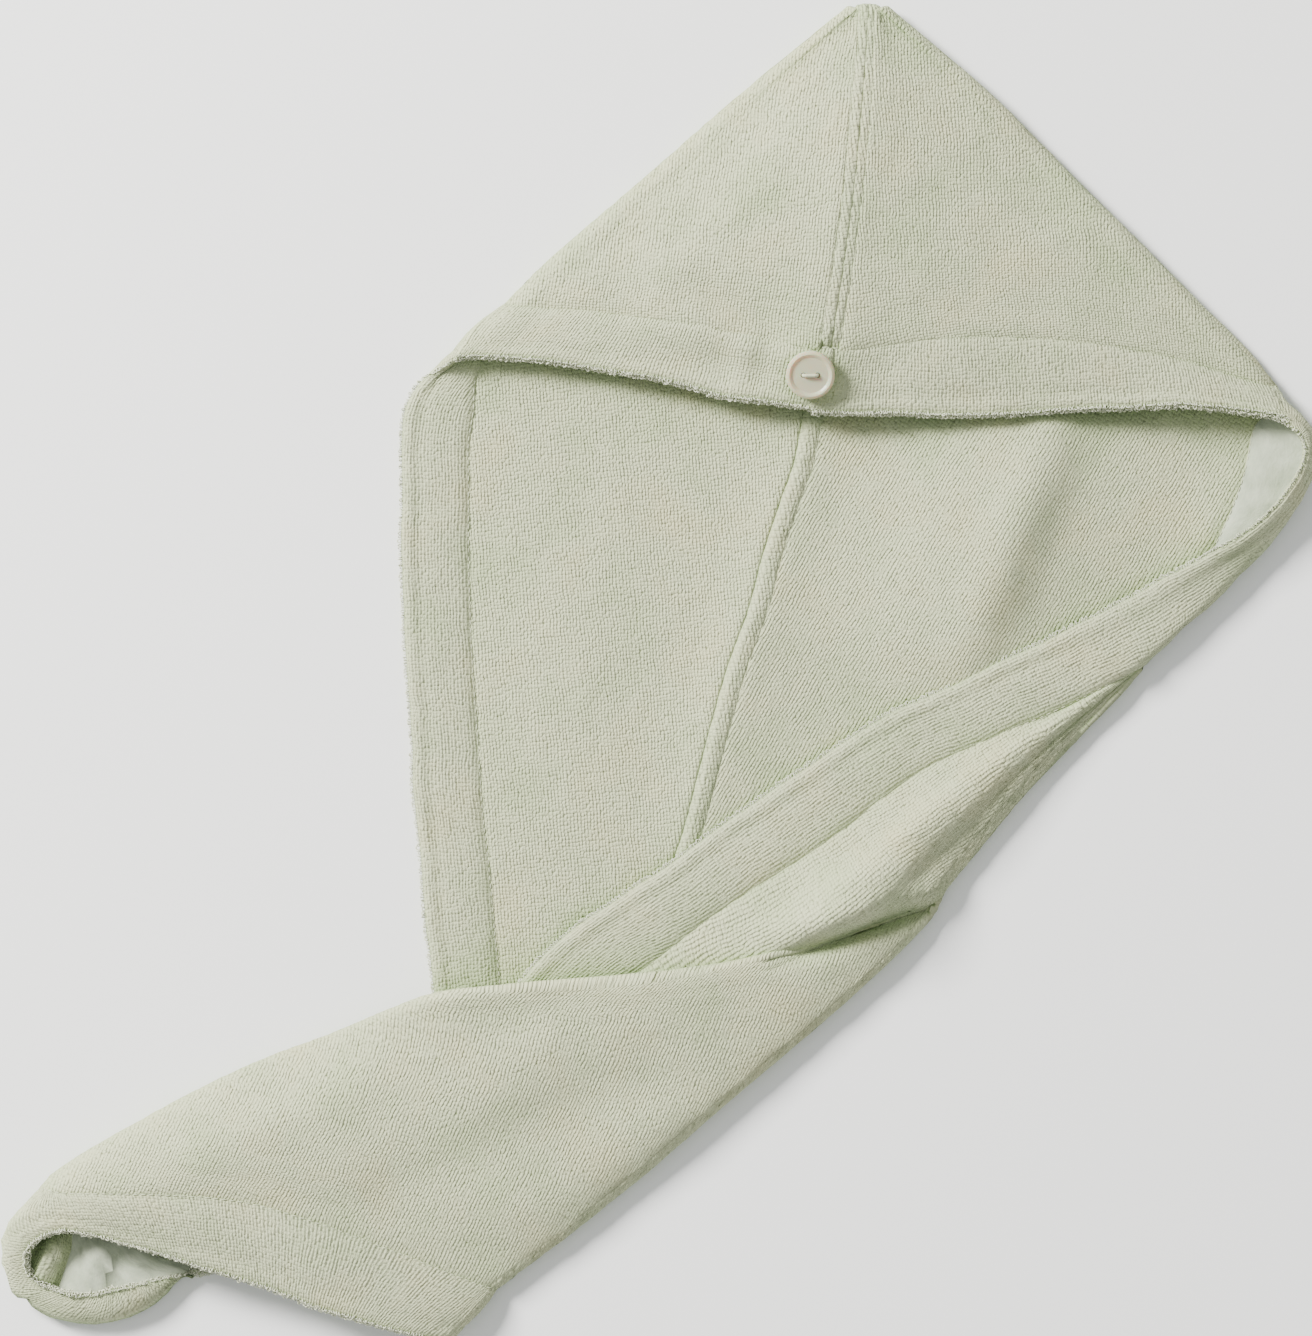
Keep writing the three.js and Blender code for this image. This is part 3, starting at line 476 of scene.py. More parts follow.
def cloth_shell(name, grid, thickness, kept, plans, material, rounding=0.5, lining=None):
    """A closed wall of cloth about a grid of middle points, over the kept cells, with its edges rounded.

    thickness is one value or one for each point. plans gives each cell's map: a list of (mask of cells,
    map coordinates of the grid's points in millimetres). lining is (material, mask of cells, side), for
    cells that show the smooth back of the cloth on one side."""
    grid = grid.copy()
    half = np.broadcast_to(thickness, grid.shape[:2]) / 2
    grid[..., 2] = np.maximum(grid[..., 2], half)
    height, width = grid.shape[:2]
    cells = np.zeros((height + 1, width + 1), bool)
    cells[1:height, 1:width] = kept
    normal, outward, used = wall_ways(grid, cells)
    count = int(used.sum())
    number = np.full((height, width), -1)
    number[used] = np.arange(count)
    tufts = np.random.RandomState(len(name)).uniform(-PILE, PILE, (2, height, width, 1))
    upper = (grid + (half[..., None] + tufts[0]) * normal)[used]
    lower = (grid - (half[..., None] + tufts[1]) * normal)[used]
    i, j = np.nonzero(kept)
    quads = np.stack([number[i, j], number[i + 1, j], number[i + 1, j + 1], number[i, j + 1]], -1)
    spots = np.stack([i * width + j, (i + 1) * width + j, (i + 1) * width + j + 1, i * width + j + 1], -1)
    cell_of = np.stack([i, j], -1)
    rim_number, rim_points = {}, []

    def ring(point):
        """Numbers of the points round a cut edge, from the upper face to the lower one."""
        if point not in rim_number:
            rim_number[point] = 2 * count + len(rim_points)
            p, n, e = grid[point], normal[point], outward[point]
            for k in range(1, RIM_STEPS + 1):
                angle = math.pi * k / (RIM_STEPS + 1)
                way = n * math.cos(angle) + 2 * rounding * e * math.sin(angle)
                rim_points.append(p + half[point] * way)
        first = rim_number[point]
        return [number[point], *range(first, first + RIM_STEPS), number[point] + count]

    # Cells without a neighbour on one side, that border's two points, and the step to the points within
    borders = (
        (~cells[:-2, 1:-1], (0, 0), (0, 1), width),
        (~cells[2:, 1:-1], (1, 1), (1, 0), -width),
        (~cells[1:-1, :-2], (1, 0), (0, 0), 1),
        (~cells[1:-1, 2:], (0, 1), (1, 1), -1),
    )
    rim_faces, rim_spots, rim_inners, rim_turns, rim_cells = [], [], [], [], []
    for open_cells, first, second, inwards in borders:
        for i, j in zip(*np.nonzero(kept & open_cells)):
            p, q = (i + first[0], j + first[1]), (i + second[0], j + second[1])
            one, two = ring(p), ring(q)
            start, end = p[0] * width + p[1], q[0] * width + q[1]
            for k in range(RIM_STEPS + 1):
                rim_faces.append([one[k], two[k], two[k + 1], one[k + 1]])
                rim_spots.append([start, end, end, start])
                rim_inners.append([spot + inwards for spot in rim_spots[-1]])
                rim_turns.append([k, k, k + 1, k + 1])
                rim_cells.append([i, j])
    faces = np.concatenate([quads, quads[:, ::-1] + count, np.array(rim_faces)])
    maps = np.concatenate([spots, spots[:, ::-1], np.array(rim_spots)])
    inners = np.concatenate([spots, spots[:, ::-1], np.array(rim_inners)])
    turns = np.concatenate([np.zeros((2 * len(quads), 4)), np.array(rim_turns)])
    owners = np.concatenate([cell_of, cell_of, np.array(rim_cells)])
    sides = np.repeat([0, 1, 2], [len(quads), len(quads), len(rim_faces)])
    vertices = np.concatenate([upper, lower, np.array(rim_points)]) * MM
    vertices[:, 2] = np.maximum(vertices[:, 2], 0.0)
    corner = vertices[faces[:, :3]]
    volume = np.einsum("ij,ij->i", corner[:, 0], np.cross(corner[:, 1], corner[:, 2])).sum()
    if volume < 0:
        faces, maps, inners, turns = (table[:, ::-1] for table in (faces, maps, inners, turns))
    piece = new_piece(name, vertices.tolist(), faces.tolist(), material)
    spread = np.zeros((len(faces), 4, 2))
    for mask, plan in plans:
        chosen = mask[owners[:, 0], owners[:, 1]]
        spots = plan.reshape(-1, 2)
        reach = half.ravel()[maps] * turns * math.pi / (RIM_STEPS + 1)
        spread[chosen] = (spots[maps] + unit(spots[maps] - spots[inners]) * reach[..., None])[chosen]
    layer = piece.data.uv_layers.new(name="cloth")
    layer.data.foreach_set("uv", (spread * MM).ravel())
    if lining:
        piece.data.materials.append(lining[0])
        smooth = lining[1][owners[:, 0], owners[:, 1]] & (sides == lining[2])
        piece.data.polygons.foreach_set("material_index", smooth.astype(int))
    return piece


def unrolled(grid, anchor, first, last):
    """Plan places of a grid's points with the extra length of each row's slopes laid out flat."""
    plan = grid[..., :2]
    way = unit(plan[:, last] - plan[:, first])
    gaps = np.diff(grid, axis=1)
    lengths = np.concatenate([np.zeros((len(grid), 1)), np.cumsum(np.linalg.norm(gaps, axis=-1), 1)], 1)
    lengths -= lengths[:, anchor : anchor + 1]
    plan = plan[:, anchor : anchor + 1] + lengths[..., None] * way[:, None]
    step = np.diff(grid, axis=0, prepend=grid[:1])
    flat = np.linalg.norm(step[..., :2], axis=-1)
    extra = np.linalg.norm(step, axis=-1) - flat
    return plan + np.cumsum(extra[..., None] * step[..., :2] / np.maximum(flat, 0.05)[..., None], 0)


def along_grain(plan, degrees):
    """Map coordinates with their first axis along the rows of loops, which lie at this angle in the plan."""
    angle = math.radians(degrees)
    first = np.array([math.cos(angle), math.sin(angle)])
    second = np.array([-math.sin(angle), math.cos(angle)])
    return np.stack([plan @ first, plan @ second], -1)


# The two halves, and the cells of their grids
left = left_rows()
right = right_rows()
CELL_ROW, CELL_COLUMN = np.meshgrid(ROW_PLACES[:-1], COLUMN_PLACES[:-1], indexing="ij")
FOLD_PLACE = int(np.argmin(np.abs(COLUMN_PLACES - FOLD_COLUMN)))

# How far from the stitches the cloth is drawn thin, in millimetres, and the share that it loses
PINCH = 3.0
PINCH_SHARE = 0.5

# How deep the folded-over part's first rows sink beside the hem, in millimetres, and over how many rows
TIP_SINK = 3.4
TIP_ROWS = 1.4

# Angle of the columns of loops in the plan, in degrees
GRAIN_FLAP_LEFT = 83
GRAIN_FLAP_RIGHT = 92
GRAIN_BACK_LEFT = 95
GRAIN_BACK_RIGHT = 60
GRAIN_FOLD_OVER = 32
GRAIN_TAIL = 66


def half_grid(rows):
    grid = read_cloth(rows, ROW_PLACES, COLUMN_PLACES)
    # The flap's rows are read alone too, so that what lies below it doesn't bend its slopes
    flap = ROW_PLACES <= FLAP_ROW
    alone = read_cloth(rows[: FLAP_ROW + 1], ROW_PLACES[flap], COLUMN_PLACES)
    grid[flap] += (alone - grid[flap]) * np.clip(FOLD_COLUMN + 1 - COLUMN_PLACES, 0, 1)[None, :, None]
    top = np.zeros(grid.shape[:2])
    top[:, :FOLD_PLACE] = 1
    if rows is right:
        tip = np.exp(-(((ROW_PLACES - CORNER_ROW - 1) / TIP_ROWS) ** 2)) * (ROW_PLACES > CORNER_ROW + 0.5)
        grid[:, :FOLD_PLACE, 2] -= TIP_SINK * tip[:, None]
    return soften(grid, top)


def half_cloth(name, rows, mouth_end, regions, material):
    """A half's cloth; regions are lists of (first row, last row, on top, grain)."""
    grid = half_grid(rows)
    kept = ~((CELL_COLUMN < FOLD_COLUMN) & (CELL_ROW >= FLAP_ROW) & (CELL_ROW < mouth_end))
    plans = []
    for first_row, last_row, on_top, grain in regions:
        mask = (CELL_ROW >= first_row) & (CELL_ROW < last_row) & ((CELL_COLUMN < FOLD_COLUMN) == on_top)
        spread = unrolled(grid, FOLD_PLACE, 0, FOLD_PLACE) if on_top else grid[..., :2]
        plans.append((mask, along_grain(spread, grain)))
    return cloth_shell(name, grid, pinched(grid, mouth_end), kept, plans, material)


def pinched(grid, mouth_end):
    """Thickness of a half's cloth, drawn thin by the stitches beside its hems and seams."""
    along = np.linalg.norm(np.diff(grid, axis=1, prepend=grid[:, :1]), axis=-1).cumsum(1)
    down = np.linalg.norm(np.diff(grid, axis=0, prepend=grid[:1]), axis=-1).cumsum(0)
    row, column = np.meshgrid(ROW_PLACES, COLUMN_PLACES, indexing="ij")
    flap = int(np.argmin(np.abs(ROW_PLACES - FLAP_ROW)))
    corner = int(np.argmin(np.abs(ROW_PLACES - CORNER_ROW - 1)))
    beside = [
        (np.abs(along - along[:, FOLD_PLACE : FOLD_PLACE + 1]), (row > FLAP_ROW) & (row < mouth_end)),
        (np.abs(down - down[flap : flap + 1]), (column < FOLD_COLUMN) & (row <= FLAP_ROW)),
        (along, row >= mouth_end),
        (np.abs(down - down[-1:]), row > CORNER_ROW),
        (np.abs(down - down[corner : corner + 1]), (column < FOLD_COLUMN) & (row >= mouth_end)),
    ]
    nearest = np.min([np.where(where, distance, np.inf) for distance, where in beside], 0)
    return CLOTH * (1 - PINCH_SHARE * np.exp(-((nearest / PINCH) ** 2)))


def lip_stations(rows, lip, side):
    seam_x, seam_y, fold_x, fold_y, crest, rise, end, bow = lip
    seam = at(seam_x, seam_y, lofted(crest)) + np.array([side * SEAM_WIDTH / 2, 0, 0])
    corner = at(fold_x, fold_y, lofted(end))
    stations = []
    for column in range(FOLD_COLUMN):
        inner = rows[FLAP_ROW][column]
        share = abs(inner[0] - seam[0]) / abs(rows[FLAP_ROW][FOLD_COLUMN][0] - seam[0])
        edge = between(seam, corner, share)
        edge[2] = seam[2] + (corner[2] - seam[2]) * share + humped(seam[2], corner[2], lofted(rise), share)
        edge[1] -= 4 * share * (1 - share) * bow * PLAN_LENGTH
        edge[1] += (RIGHT_LIP_WAVE if side > 0 else LEFT_LIP_WAVE)[column]
        stations.append((edge, between(edge, inner, 0.5)))
    return stations, corner


def left_stations(rows):
    stations, corner = lip_stations(rows, LEFT_LIP, -1)
    fold = rows[FLAP_ROW][FOLD_COLUMN]
    side = with_height(between(corner, fold, 0.5), HEM_REST + FOLD_RADIUS)
    side = side + np.array([-FOLD_RADIUS / 2, FOLD_RADIUS / 2, 0])
    stations.append((corner, side))
    for row in range(FLAP_ROW + 1, STITCH_ROW + 1):
        edge = left_edge(row)
        stations.append((edge, between(edge, with_height(rows[row][FOLD_COLUMN], HEM_REST), 0.5)))
    return stations


def right_stations(rows):
    stations, corner = lip_stations(rows, RIGHT_LIP, 1)
    stations.append((corner, between(corner, rows[FLAP_ROW][FOLD_COLUMN], 0.5)))
    for section in RIGHT_CORNER:
        edge = at(section[0], section[1], lofted(section[2]))
        stations.append((edge, at(section[3], section[4], lofted(section[5]))))
    for i, section in enumerate([*FOLD_OVER, *TAIL[:-1]]):
        inner = rows[CORNER_ROW + 1 + i][0]
        inner = with_height(inner, max(inner[2], HEM_REST))
        height = lofted(section[4] if i < len(FOLD_OVER) else section[2])
        edge = at(section[0], section[1], max(height, HEM_REST))
        stations.append((edge, between(edge, inner, 0.8 if i == 0 else 0.5)))
    return stations


# Places across a hem as shares of its width, from the free edge to the stitches
HEM_ACROSS = np.array([0, 0.06, 0.12, 0.18, 0.28, 0.4, 0.52, 0.64, 0.76, 0.86, 0.94, 1])
# Share of the hem's cloth at such places: full at the edge, drawn in behind it and thin at the stitches
HEM_PROFILE = [
    (0, 0.92),
    (0.06, 1.04),
    (0.12, 1),
    (0.18, 0.74),
    (0.28, 0.97),
    (0.5, 1.03),
    (0.8, 0.9),
    (0.92, 0.66),
    (1, 0.4),
]
# How far the hem laps over the cloth at the stitches, and how deep they draw its last two lines down
STITCH_LAP = 0.9
STITCH_DRAW = (0.3, 0.7)
# How far the stitches, the free edge and the hem's middle run into the seam, as shares of its width
SEAM_REACH = (0.6, 1.25, 0.95)
# Rows of loose loops round a free edge, in degrees above level: where the edge shows, and at the sides
SHOWN_LOOPS = (60, 25, -15)
SIDE_LOOPS = (5,)

# Lines for the loose loops by piece, and lines of stitches, both gathered as the hems are made
EDGES = {}
SEWN = []


def falling(places, middle, pace):
    """A soft step from 1 before the middle place to 0 after it."""
    return 1 / (1 + np.exp((places - middle) * pace))


def hem_band(name, rows, stations, turning_row, grains, material, lining=None):
    """A doubled band from the free edge to the line of stitches. grains are (first place, loops lie across
    it), and lining is (material, first place, last place, side)."""
    columns = COLUMN_PLACES[COLUMN_PLACES < FOLD_COLUMN]
    below = ROW_PLACES[(ROW_PLACES > FLAP_ROW)]
    places = np.concatenate([columns, [FOLD_COLUMN], FOLD_COLUMN + below - FLAP_ROW])
    stop_rows = np.concatenate([np.full(len(columns) + 1, float(FLAP_ROW)), below])
    stop_columns = np.concatenate([columns, [FOLD_COLUMN], np.where(below < turning_row, FOLD_COLUMN, 0)])
    half = read_cloth(rows, ROW_PLACES, COLUMN_PLACES)
    inner = half[np.searchsorted(ROW_PLACES, stop_rows), np.searchsorted(COLUMN_PLACES, stop_columns)]
    climbing = (stop_rows > CORNER_ROW) & (stop_rows < turning_row) & (turning_row < END_ROW)
    inner[:, 2] = np.maximum(inner[:, 2], np.where(climbing, CLOTH + HEM_REST + 1, HEM_REST))
    edge = read_points([station[0] for station in stations], places)
    outer = read_points([station[1] for station in stations], places)
    to_seam = SEAM_WIDTH * np.maximum(0, 1 - places / 0.9) * np.sign(at(LEFT_LIP[0], 0, 0)[0] - edge[0, 0])
    for line, reach in zip((inner, edge, outer), SEAM_REACH):
        line[:, 0] += reach * to_seam
    way = outer - inner
    length = np.maximum(np.linalg.norm(way, axis=-1, keepdims=True), 1e-6)
    end = inner - way * np.minimum(STITCH_LAP / length, 0.1)
    grid = spline(np.stack([edge, outer, end]), 2 * HEM_ACROSS).transpose(1, 0, 2)
    rim = np.linspace(1, 0, len(HEM_ACROSS))[None, :]
    wave = 0.7 * soft_noise(grid[:, :1], 26, 21) + 0.4 * soft_noise(grid[:, :1], 9, 22)
    grid += (wave * rim)[..., None] * unit(edge - inner)[:, None]
    on_flap = falling(places, FOLD_COLUMN, 6)
    folded = 1 - falling(places, FOLD_COLUMN + turning_row - FLAP_ROW, 3) if turning_row < END_ROW else 0
    grid = soften(grid, (on_flap + folded)[:, None])
    grid[..., 2] += 0.5 * soft_noise(grid, 15, 23) * rim
    grid[:, -2:, 2] -= np.array(STITCH_DRAW)
    kept = np.ones((len(grid) - 1, len(HEM_ACROSS) - 1), bool)
    plans = []
    for (first, turned), (last, _) in zip(grains, [*grains[1:], (np.inf, 0)]):
        chosen = (places[:-1] >= first) & (places[:-1] < last)
        plans.append((kept & chosen[:, None], along_band(grid, turned)))
    profile = HEM_CLOTH * np.interp(HEM_ACROSS, *zip(*HEM_PROFILE))[None]
    SEWN.append(grid[:, -1])
    lip = places <= FOLD_COLUMN
    EDGES[name] = rows_of_loops(grid[lip, 0], grid[lip, 1], SHOWN_LOOPS)
    EDGES[name] += rows_of_loops(grid[~lip, 0], grid[~lip, 1], SIDE_LOOPS)
    if lining:
        lined = (places[:-1] > lining[1]) & (places[:-1] < lining[2])
        lining = (lining[0], kept & lined[:, None] & (HEM_ACROSS[:-1] > 0.2)[None], lining[3])
    return cloth_shell(name, grid, profile, kept, plans, material, 0.5, lining)


def rows_of_loops(edge, inner, angles):
    """Lines of loops round a free edge, from its upper side to its lower side, with the way each stands."""
    out = unit(edge - inner)
    up = unit(np.cross(out, np.gradient(edge, axis=0)))
    up *= np.sign(up[:, 2:3]) + (up[:, 2:3] == 0)
    lines = []
    for angle in angles:
        way = out * math.cos(math.radians(angle)) + up * math.sin(math.radians(angle))
        lines.append((edge + way * HEM_CLOTH / 2, way))
    return lines


def along_band(grid, turned):
    """Map coordinates of a band: along its middle and across it, or the other way round if turned."""
    middle = grid[:, grid.shape[1] // 2]
    length = np.linalg.norm(np.diff(middle, axis=0, prepend=middle[:1]), axis=-1).cumsum()
    across = np.linalg.norm(np.diff(grid, axis=1, prepend=grid[:, :1]), axis=-1).cumsum(1)
    along = np.repeat(length[:, None], grid.shape[1], 1)
    return np.stack([across, along] if turned else [along, across], -1)


# How high the cloth stands at shares across the centre seam, in millimetres: on the flap, and behind
FRONT_WELT = ((0, 0), (0.12, 0.25), (0.3, 0.5), (0.44, 0.4), (0.5, -0.45), (0.56, 0.1), (0.7, 0.2), (1, 0))
BACK_WELT = ((0, 0), (0.12, -0.6), (0.26, 0.5), (0.4, 1.25), (0.6, 1.1), (0.8, 0.7), (1, 0.1))
# The seam's first stations lie under the flap's hem, so deep in millimetres
TUCKED_STATIONS = 13
TUCK_DEPTH = 1.6
# Round the apex, from the flap to the back: y as a share of the plan, and reach as a share of the seam's
APEX_TURN = ((0.0058, 1.1), (0.003, 0.9), (0.0058, 1.1))
APEX_DROP = 0.6


def seam_edges():
    """Edges of the centre seam from the nape up the flap, round the apex and down the back."""
    half = np.array([SEAM_WIDTH / 2, 0, 0])
    grids = [half_grid(left), half_grid(right)]
    nape = at(LEFT_LIP[0], LEFT_LIP[1], lofted(LEFT_LIP[4]))
    stitch_place = int(np.argmin(np.abs(ROW_PLACES - FLAP_ROW)))
    stitches = [grid[stitch_place, 0] for grid in grids]
    lip = [nape - half, nape + half]
    under_hem = np.linspace(0.2, 1, 12)[:-1]
    stations = [[between(lip[i], stitches[i], share) for i in (0, 1)] for share in under_hem]
    for place in range(stitch_place, -1, -1):
        stations.append([grid[place, 0] for grid in grids])
    above, below = grids[0][0, 0][2], grids[0][0, -1][2]
    for (y, reach), height in zip(APEX_TURN, (above - APEX_DROP, (above + below) / 2, below + APEX_DROP)):
        apex = at(BACK_SEAM[0][0], y, height) - np.array([0, SEAM_CLOTH / 2, 0])
        stations.append([apex - reach * half, apex + reach * half])
    for place in range(len(ROW_PLACES)):
        ends = [grid[place, -1] for grid in grids]
        stations.append([with_height(end, max(end[2], SEAM_CLOTH / 2)) for end in ends])
    return np.array(stations)


def seam_strip(material):
    stations = seam_edges()
    across = np.linspace(0.0, 1.0, 25)
    grid = stations[:, :1] + (stations[:, 1:] - stations[:, :1]) * across[None, :, None]
    lying = len(stations) - len(ROW_PLACES)
    grid[:lying, :, 2] += np.interp(across, *zip(*FRONT_WELT))
    grid[lying:, :, 2] += np.interp(across, *zip(*BACK_WELT))
    grid[:TUCKED_STATIONS, :, 2] -= TUCK_DEPTH
    kept = np.ones((len(grid) - 1, len(across) - 1), bool)
    plan = along_grain(grid[..., :2], GRAIN_BACK_LEFT)
    thickness = CLOTH * (1 - 0.3 * np.abs(2 * across - 1) ** 3)
    return cloth_shell("centre_seam_cloth", grid, thickness[None], kept, [(kept, plan)], material, 0.4)


# Edge of the tail's end from the tucked corner, round the open roll and along the upper layer to the fold:
# place in columns, x and y as shares of the plan, height and how far the roll swells out before it, in
# millimetres
ROLLED_EDGE = [
    (-1, 0.16, 0.95, 3, 0),
    (-0.4, 0.131, 0.955, 5, 7),
    (0.2, 0.102, 0.963, 7, 14.5),
    (0.8, 0.064, 0.968, 8.5, 18.5),
    (1.3, 0.037, 0.962, 9.5, 16),
    (1.8, 0.022, 0.947, 11, 11.5),
    (2.2, 0.022, 0.931, 13.5, 7.5),
    (2.6, 0.034, 0.9195, 16, 4.5),
    (3, 0.055, 0.9155, 17.5, 2),
    (3.3, 0.094, 0.9235, 18.5, 0.5),
    (3.65, 0.145, 0.9385, 18.5, 0),
    (4, 0.197, 0.9545, 18.5, 0),
    (4.5, 0.27, 0.98, 17, 0),
    (5, 0.325, 0.995, 12.5, 0),
    (5.5, 0.343, 0.997, 9, 0),
    (6, 0.348, 0.993, 5, 0),
]
ROLL_CENTRE = (0.084, 0.945)
# The roll swells near its edge up to this column and half-way across after it; the powers shape the swell
SWELL_COLUMN = 1.5
EARLY_SWELL = 5.0
LATE_SWELL = 1.7
# Up to this column the roll's inside is open to the eye and sags and crumples
OPEN_COLUMN = 2.1
# Up to this column the roll shows the smooth back of its cloth
LINED_COLUMN = 0.75
# Steps of the tucked corner, and of the underside from the fold to the left half's edge
TUCK_STEPS = 16
UNDER_STEPS = 8


def under_line(base, row):
    """A line under the tail, from the right half's fold over the seam to the left half's edge."""
    lying = [*base[1][COLUMN_PLACES > FOLD_COLUMN], *base[0][COLUMN_PLACES >= FOLD_COLUMN][::-1]]
    shares = np.linspace(0, 1, UNDER_STEPS + 1)[1:]
    return [*lying, *[between(lying[-1], left_edge(row), share) for share in shares]]


def end_hem(material, lining):
    """The hem across the tail's end, from the right half's tucked edge to the left half's."""
    at_stitches, at_end = (
        [read_cloth(rows, [row], COLUMN_PLACES)[0] for rows in (left, right)] for row in (STITCH_ROW, END_ROW)
    )
    tucks = np.linspace(-1, 0, TUCK_STEPS + 1)[:-1]
    places = np.concatenate([tucks, COLUMN_PLACES[COLUMN_PLACES <= FOLD_COLUMN]])
    section = TAIL[STITCH_ROW - GROOVE_ROW - 1]
    tucked = at(section[0], section[1], lofted(section[2]))
    start = [between(tucked, at_stitches[1][0], 1 + place) for place in tucks]
    shown_stitches = [*start, *at_stitches[1][COLUMN_PLACES <= FOLD_COLUMN]]
    stitches = np.array([*shown_stitches, *under_line(at_stitches, STITCH_ROW)])
    table = np.array(ROLLED_EDGE)
    stops = np.interp(places, table[:, 0], np.arange(len(table)))
    rolled = read_points([at(*line[1:4]) for line in table], stops)
    edge = np.array([*rolled, *under_line(at_end, END_ROW)])
    for line in (stitches, edge):
        line[:, 2] = np.maximum(line[:, 2], HEM_REST)
    hidden = len(edge) - len(places)
    place = np.concatenate([places, np.full(hidden, float(END_ROW))])
    swell = np.concatenate([np.interp(places, table[:, 0], table[:, 4]), np.zeros(hidden)])
    outward = unit((edge - at(*ROLL_CENTRE, 0)) * (1, 1, 0))
    shares = 1 - HEM_ACROSS[::-1]
    across = shares[:, None]
    grid = stitches[None] + (edge - stitches)[None] * across[..., None]
    power = LATE_SWELL + (EARLY_SWELL - LATE_SWELL) * falling(place, SWELL_COLUMN, 5)
    bulge = np.sin(np.pi * across ** power[None]) ** 0.85
    grid += bulge[..., None] * (swell[:, None] * outward)[None]
    low = falling(place, OPEN_COLUMN, 4)
    sag = (across**3 - across) * (edge - stitches)[None, :, 2]
    grid[..., 2] += sag * low[None] + 0.9 * np.sin(np.pi * across) * (1 - low)[None]
    wave = 0.7 * soft_noise(edge, 22, 32) + 0.3 * soft_noise(edge, 7, 33)
    grid += (across * wave)[..., None] * unit(edge - stitches)[None]
    grid = soften(grid, np.where(place < FOLD_COLUMN, 1.0, 0.0)[None])
    crumple = 1.5 * soft_noise(grid, 9, 36) + 1.2 * soft_noise(grid, 4.5, 37) + crease_height(grid, "roll")
    grid[..., 2] += crumple * np.minimum(swell / 8, 1)[None] * low[None] * (1 - across**3)
    kept = np.ones((len(shares) - 1, grid.shape[1] - 1), bool)
    plan = along_band(grid.transpose(1, 0, 2), True).transpose(1, 0, 2)
    profile = HEM_CLOTH * np.interp(1 - shares, *zip(*HEM_PROFILE))[:, None]
    shown = len(places)
    SEWN.append(grid[0, :shown])
    EDGES["tail_end_hem"] = rows_of_loops(grid[-1, :shown], grid[-2, :shown], SHOWN_LOOPS)
    inside = (lining, kept & (place[:-1] < LINED_COLUMN)[None], 1)
    return cloth_shell("tail_end_hem", grid, profile, kept, [(kept, plan)], material, 0.5, inside)


# Materials
def linear(colour):
    """Linear light from an sRGB hex colour."""
    parts = [int(colour[i : i + 2], 16) / 255 for i in (1, 3, 5)]
    return [part / 12.92 if part <= 0.04045 else ((part + 0.055) / 1.055) ** 2.4 for part in parts] + [1]


def new_material(name):
    material = bpy.data.materials.new(name)
    material.use_nodes = True
    material.node_tree.nodes.clear()
    return material


def add_node(material, kind, settings=None, values=None, links=None):
    """A node with its settings and fixed inputs, fed by (input, node, output) links."""
    node = material.node_tree.nodes.new(kind)
    for key, value in (settings or {}).items():
        setattr(node, key, value)
    for key, value in (values or {}).items():
        node.inputs[key].default_value = value
    for key, source, output in links or []:
        material.node_tree.links.new(source.outputs[output], node.inputs[key])
    return node


def set_stops(node, stops):
    """Colours at places from 0 to 1."""
    elements = node.color_ramp.elements
    while len(elements) < len(stops):
        elements.new(0.5)
    for element, (place, colour) in zip(elements, stops):
        element.position = place
        element.color = linear(colour)


def plain_material(name, colour, values):
    """A material of one colour without a pattern."""
    m = new_material(name)
    skin = add_node(m, "ShaderNodeBsdfPrincipled", values={"Base Color": linear(colour), **values})
    add_node(m, "ShaderNodeOutputMaterial", links=[("Surface", skin, "BSDF")])
    return m


# The loops' spacing in millimetres, across their columns and along them
LOOP_PITCH = 1.5
LOOP_LENGTH = 1.6

MULTIPLY = {"operation": "MULTIPLY"}
MULTIPLY_ADD = {"operation": "MULTIPLY_ADD"}
TINT = {"data_type": "RGBA", "blend_type": "MULTIPLY"}


